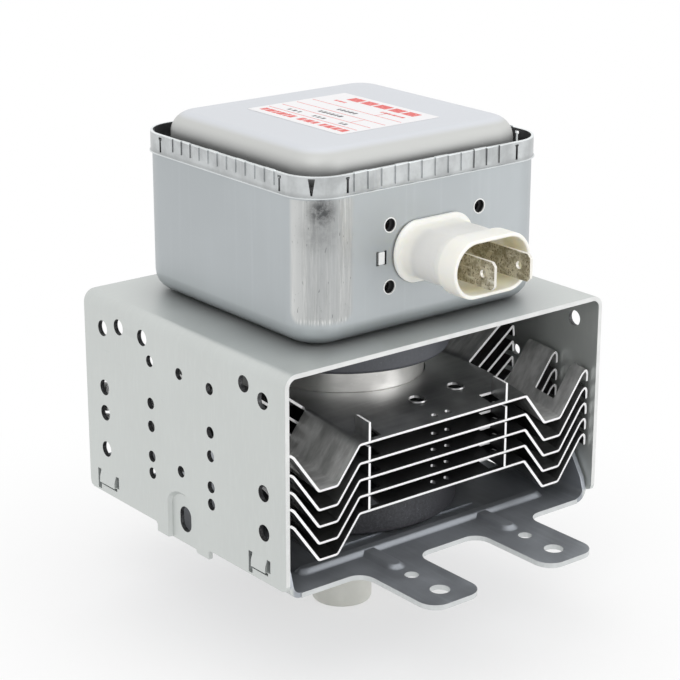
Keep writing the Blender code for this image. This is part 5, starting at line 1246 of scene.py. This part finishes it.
def make_tube_outside(shell, ceramic, cream, mesh):
    low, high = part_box("anode_cylinder")
    wall = 17.3 * MM
    profile = [(wall, low.z), (high.x, low.z), (high.x, high.z), (wall, high.z)]
    finished("anode_can", turned(profile, 128), shell, ["anode_cylinder"], 0.1 * MM, 30)
    low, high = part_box("antenna_cap")
    edge = 0.8 * MM
    profile = [(0.0, low.z), (high.x - edge, low.z), (high.x - edge * 0.3, low.z + edge * 0.3),
               (high.x, low.z + edge), (high.x, high.z), (high.x - 0.8 * MM, high.z),
               (high.x - 0.8 * MM, low.z + 0.8 * MM), (0.0, low.z + 0.8 * MM)]
    finished("antenna_cup", turned(profile, 128), cream, ["antenna_cap"], 0.1 * MM, 50)
    low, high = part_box("output_ceramic")
    profile = [(high.x - 1.6 * MM, low.z), (high.x, low.z), (high.x, high.z), (high.x - 1.6 * MM, high.z)]
    finished("ceramic_ring", turned(profile, 128), ceramic, ["output_ceramic"], 0.15 * MM, 30)
    low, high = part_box("rf_gasket")
    bm = turned([(high.x - 4.8 * MM, low.z), (high.x, low.z), (high.x, high.z), (high.x - 4.8 * MM, high.z)], 128)
    finished("knitted_ring", bm, mesh, ["rf_gasket"], 1.1 * MM, 30)


# Studio

def seen_by_eye(tree):
    """One for rays from the camera, and for those that metal and glass send on."""
    path = tree.nodes.new("ShaderNodeLightPath")
    total = path.outputs["Is Camera Ray"]
    for kind in ("Is Glossy Ray", "Is Transmission Ray"):
        either = tree.nodes.new("ShaderNodeMath")
        either.operation = "MAXIMUM"
        tree.links.new(total, either.inputs[0])
        tree.links.new(path.outputs[kind], either.inputs[1])
        total = either.outputs["Value"]
    return total


def floor_finish():
    """A pale floor that keeps the object's shadow, and runs out into plain white around it."""
    finish = Finish("pale_floor", (0.93, 0.93, 0.93), 0.8)
    finish.shader.inputs["Specular IOR Level"].default_value = 0.05
    tree = finish.material.node_tree
    white = tree.nodes.new("ShaderNodeEmission")
    either = tree.nodes.new("ShaderNodeMixShader")
    away = finish.maths("SUBTRACT", 1.0, finish.maths("MULTIPLY", finish.near((0.0, 0.0, 0.0), 0.04, 0.15), 0.45))
    tree.links.new(finish.maths("MULTIPLY", away, seen_by_eye(tree)), either.inputs["Fac"])
    tree.links.new(finish.shader.outputs["BSDF"], either.inputs[1])
    tree.links.new(white.outputs["Emission"], either.inputs[2])
    tree.links.new(either.outputs["Shader"], tree.nodes["Material Output"].inputs["Surface"])
    return finish.material


def make_studio():
    bm = bmesh.new()
    bmesh.ops.create_grid(bm, x_segments=1, y_segments=1, size=6.0)
    mesh = bpy.data.meshes.new("floor")
    bm.to_mesh(mesh)
    bm.free()
    floor = bpy.data.objects.new("floor", mesh)
    floor.location.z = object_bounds()[0][2] - 0.02 * MM
    bpy.context.scene.collection.objects.link(floor)
    mesh.materials.append(floor_finish())

    world = bpy.data.worlds.new("studio")
    world.use_nodes = True
    bpy.context.scene.world = world
    tree = world.node_tree
    background = tree.nodes["Background"]
    background.inputs["Color"].default_value = (1, 1, 1, 1)
    level = tree.nodes.new("ShaderNodeMapRange")
    level.inputs["To Min"].default_value = 0.84
    level.inputs["To Max"].default_value = 1.0
    tree.links.new(seen_by_eye(tree), level.inputs["Value"])
    tree.links.new(level.outputs["Result"], background.inputs["Strength"])

    for name, place, size, power in (("key", (-0.55, -0.35, 0.75), 0.5, 1.4), ("fill", (0.45, -0.85, 0.40), 0.6, 2.4),
                                     ("top", (0.1, 0.2, 0.9), 0.6, 0.5)):
        lamp = bpy.data.lights.new(name, "AREA")
        lamp.energy = power
        lamp.size = size
        holder = bpy.data.objects.new(name, lamp)
        holder.location = place
        holder.rotation_euler = (Vector((0, 0, 0.06)) - Vector(place)).to_track_quat("-Z", "Y").to_euler()
        bpy.context.scene.collection.objects.link(holder)

    view = bpy.data.cameras.new("photo_view")
    view.lens = 108.05
    view.sensor_width = 36.0
    view.sensor_fit = "HORIZONTAL"
    view.clip_start = 0.01
    holder = bpy.data.objects.new("photo_view", view)
    holder.location = (-0.29159, -0.36402, 0.2240)
    holder.rotation_euler = (math.radians(90 - 18.54), -0.0017, math.radians(-38.6))
    bpy.context.scene.collection.objects.link(holder)
    bpy.context.scene.camera = holder
    bpy.context.scene.view_settings.view_transform = "Standard"


def dress_inside(finishes):
    """Give the nodes that stay as they are the finish of their kind."""
    for name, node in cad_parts.items():
        for start, material in finishes.items():
            if name.startswith(start):
                for slot in node.material_slots:
                    slot.material = material


def make_magnetron():
    steel = box_steel()
    shell = plated_shell()
    copper = anode_copper()
    ceramic = alumina_ceramic()
    cathode = cathode_metal()
    smooth_magnet = magnet_ferrite("smooth_ferrite", (0.090, 0.095, 0.108), 0.25)
    rough_magnet = magnet_ferrite("rough_ferrite", (0.045, 0.046, 0.052), 1.0)
    shaded = punched_wall()
    make_yoke(yoke_zinc(), cut_edge("yoke_edge", (0.74, 0.75, 0.74), 0.5), shaded)
    make_plate(plate_zinc(), cut_edge("plate_edge", (0.60, 0.62, 0.62), 0.4))
    make_fins(fin_aluminium("fin_top", 0.0), fin_aluminium("fin_lower", 0.8),
              cut_edge("fin_edge", (0.96, 0.96, 0.96), 0.0))
    # The rim's inner faces take a darker copy of the rim's steel, as painted shade inside the rim
    make_box(steel, rim_steel("rim_steel", (0.54, 0.56, 0.565)), rim_steel("rim_inside_shade", (0.20, 0.205, 0.21)),
             cut_edge("punched_edge", (0.84, 0.85, 0.84), 0.2), shaded)
    make_lid(lid_steel())
    make_label(label_paper(), label_ink("label_red", (0.74, 0.10, 0.09), (0.90, 0.62, 0.61)),
               label_ink("label_black", (0.05, 0.05, 0.06), (0.55, 0.55, 0.56)))
    make_socket(socket_plastic())
    make_blades(terminal_tin(), cut_edge("blade_edge", (0.80, 0.78, 0.72), 0.4))
    make_magnet("upper_magnet", "magnet_ring_upper", smooth_magnet)
    make_magnet("lower_magnet", "magnet_ring_lower", rough_magnet)
    make_tube_outside(shell, ceramic, antenna_cream(), gasket_mesh())
    dress_inside({"upper_sealing_shell": shell, "lower_sealing_shell": shell, "anode_vane": copper,
                  "strap_ring": copper, "antenna_lead": copper, "pole_piece": cathode, "cathode": cathode,
                  "filament_lead": cathode, "stem_ceramic": ceramic, "choke_coil": coil_enamel(),
                  "ferrite_core": rough_magnet, "capacitor_backing_plate": backing_steel()})


make_magnetron()
make_studio()
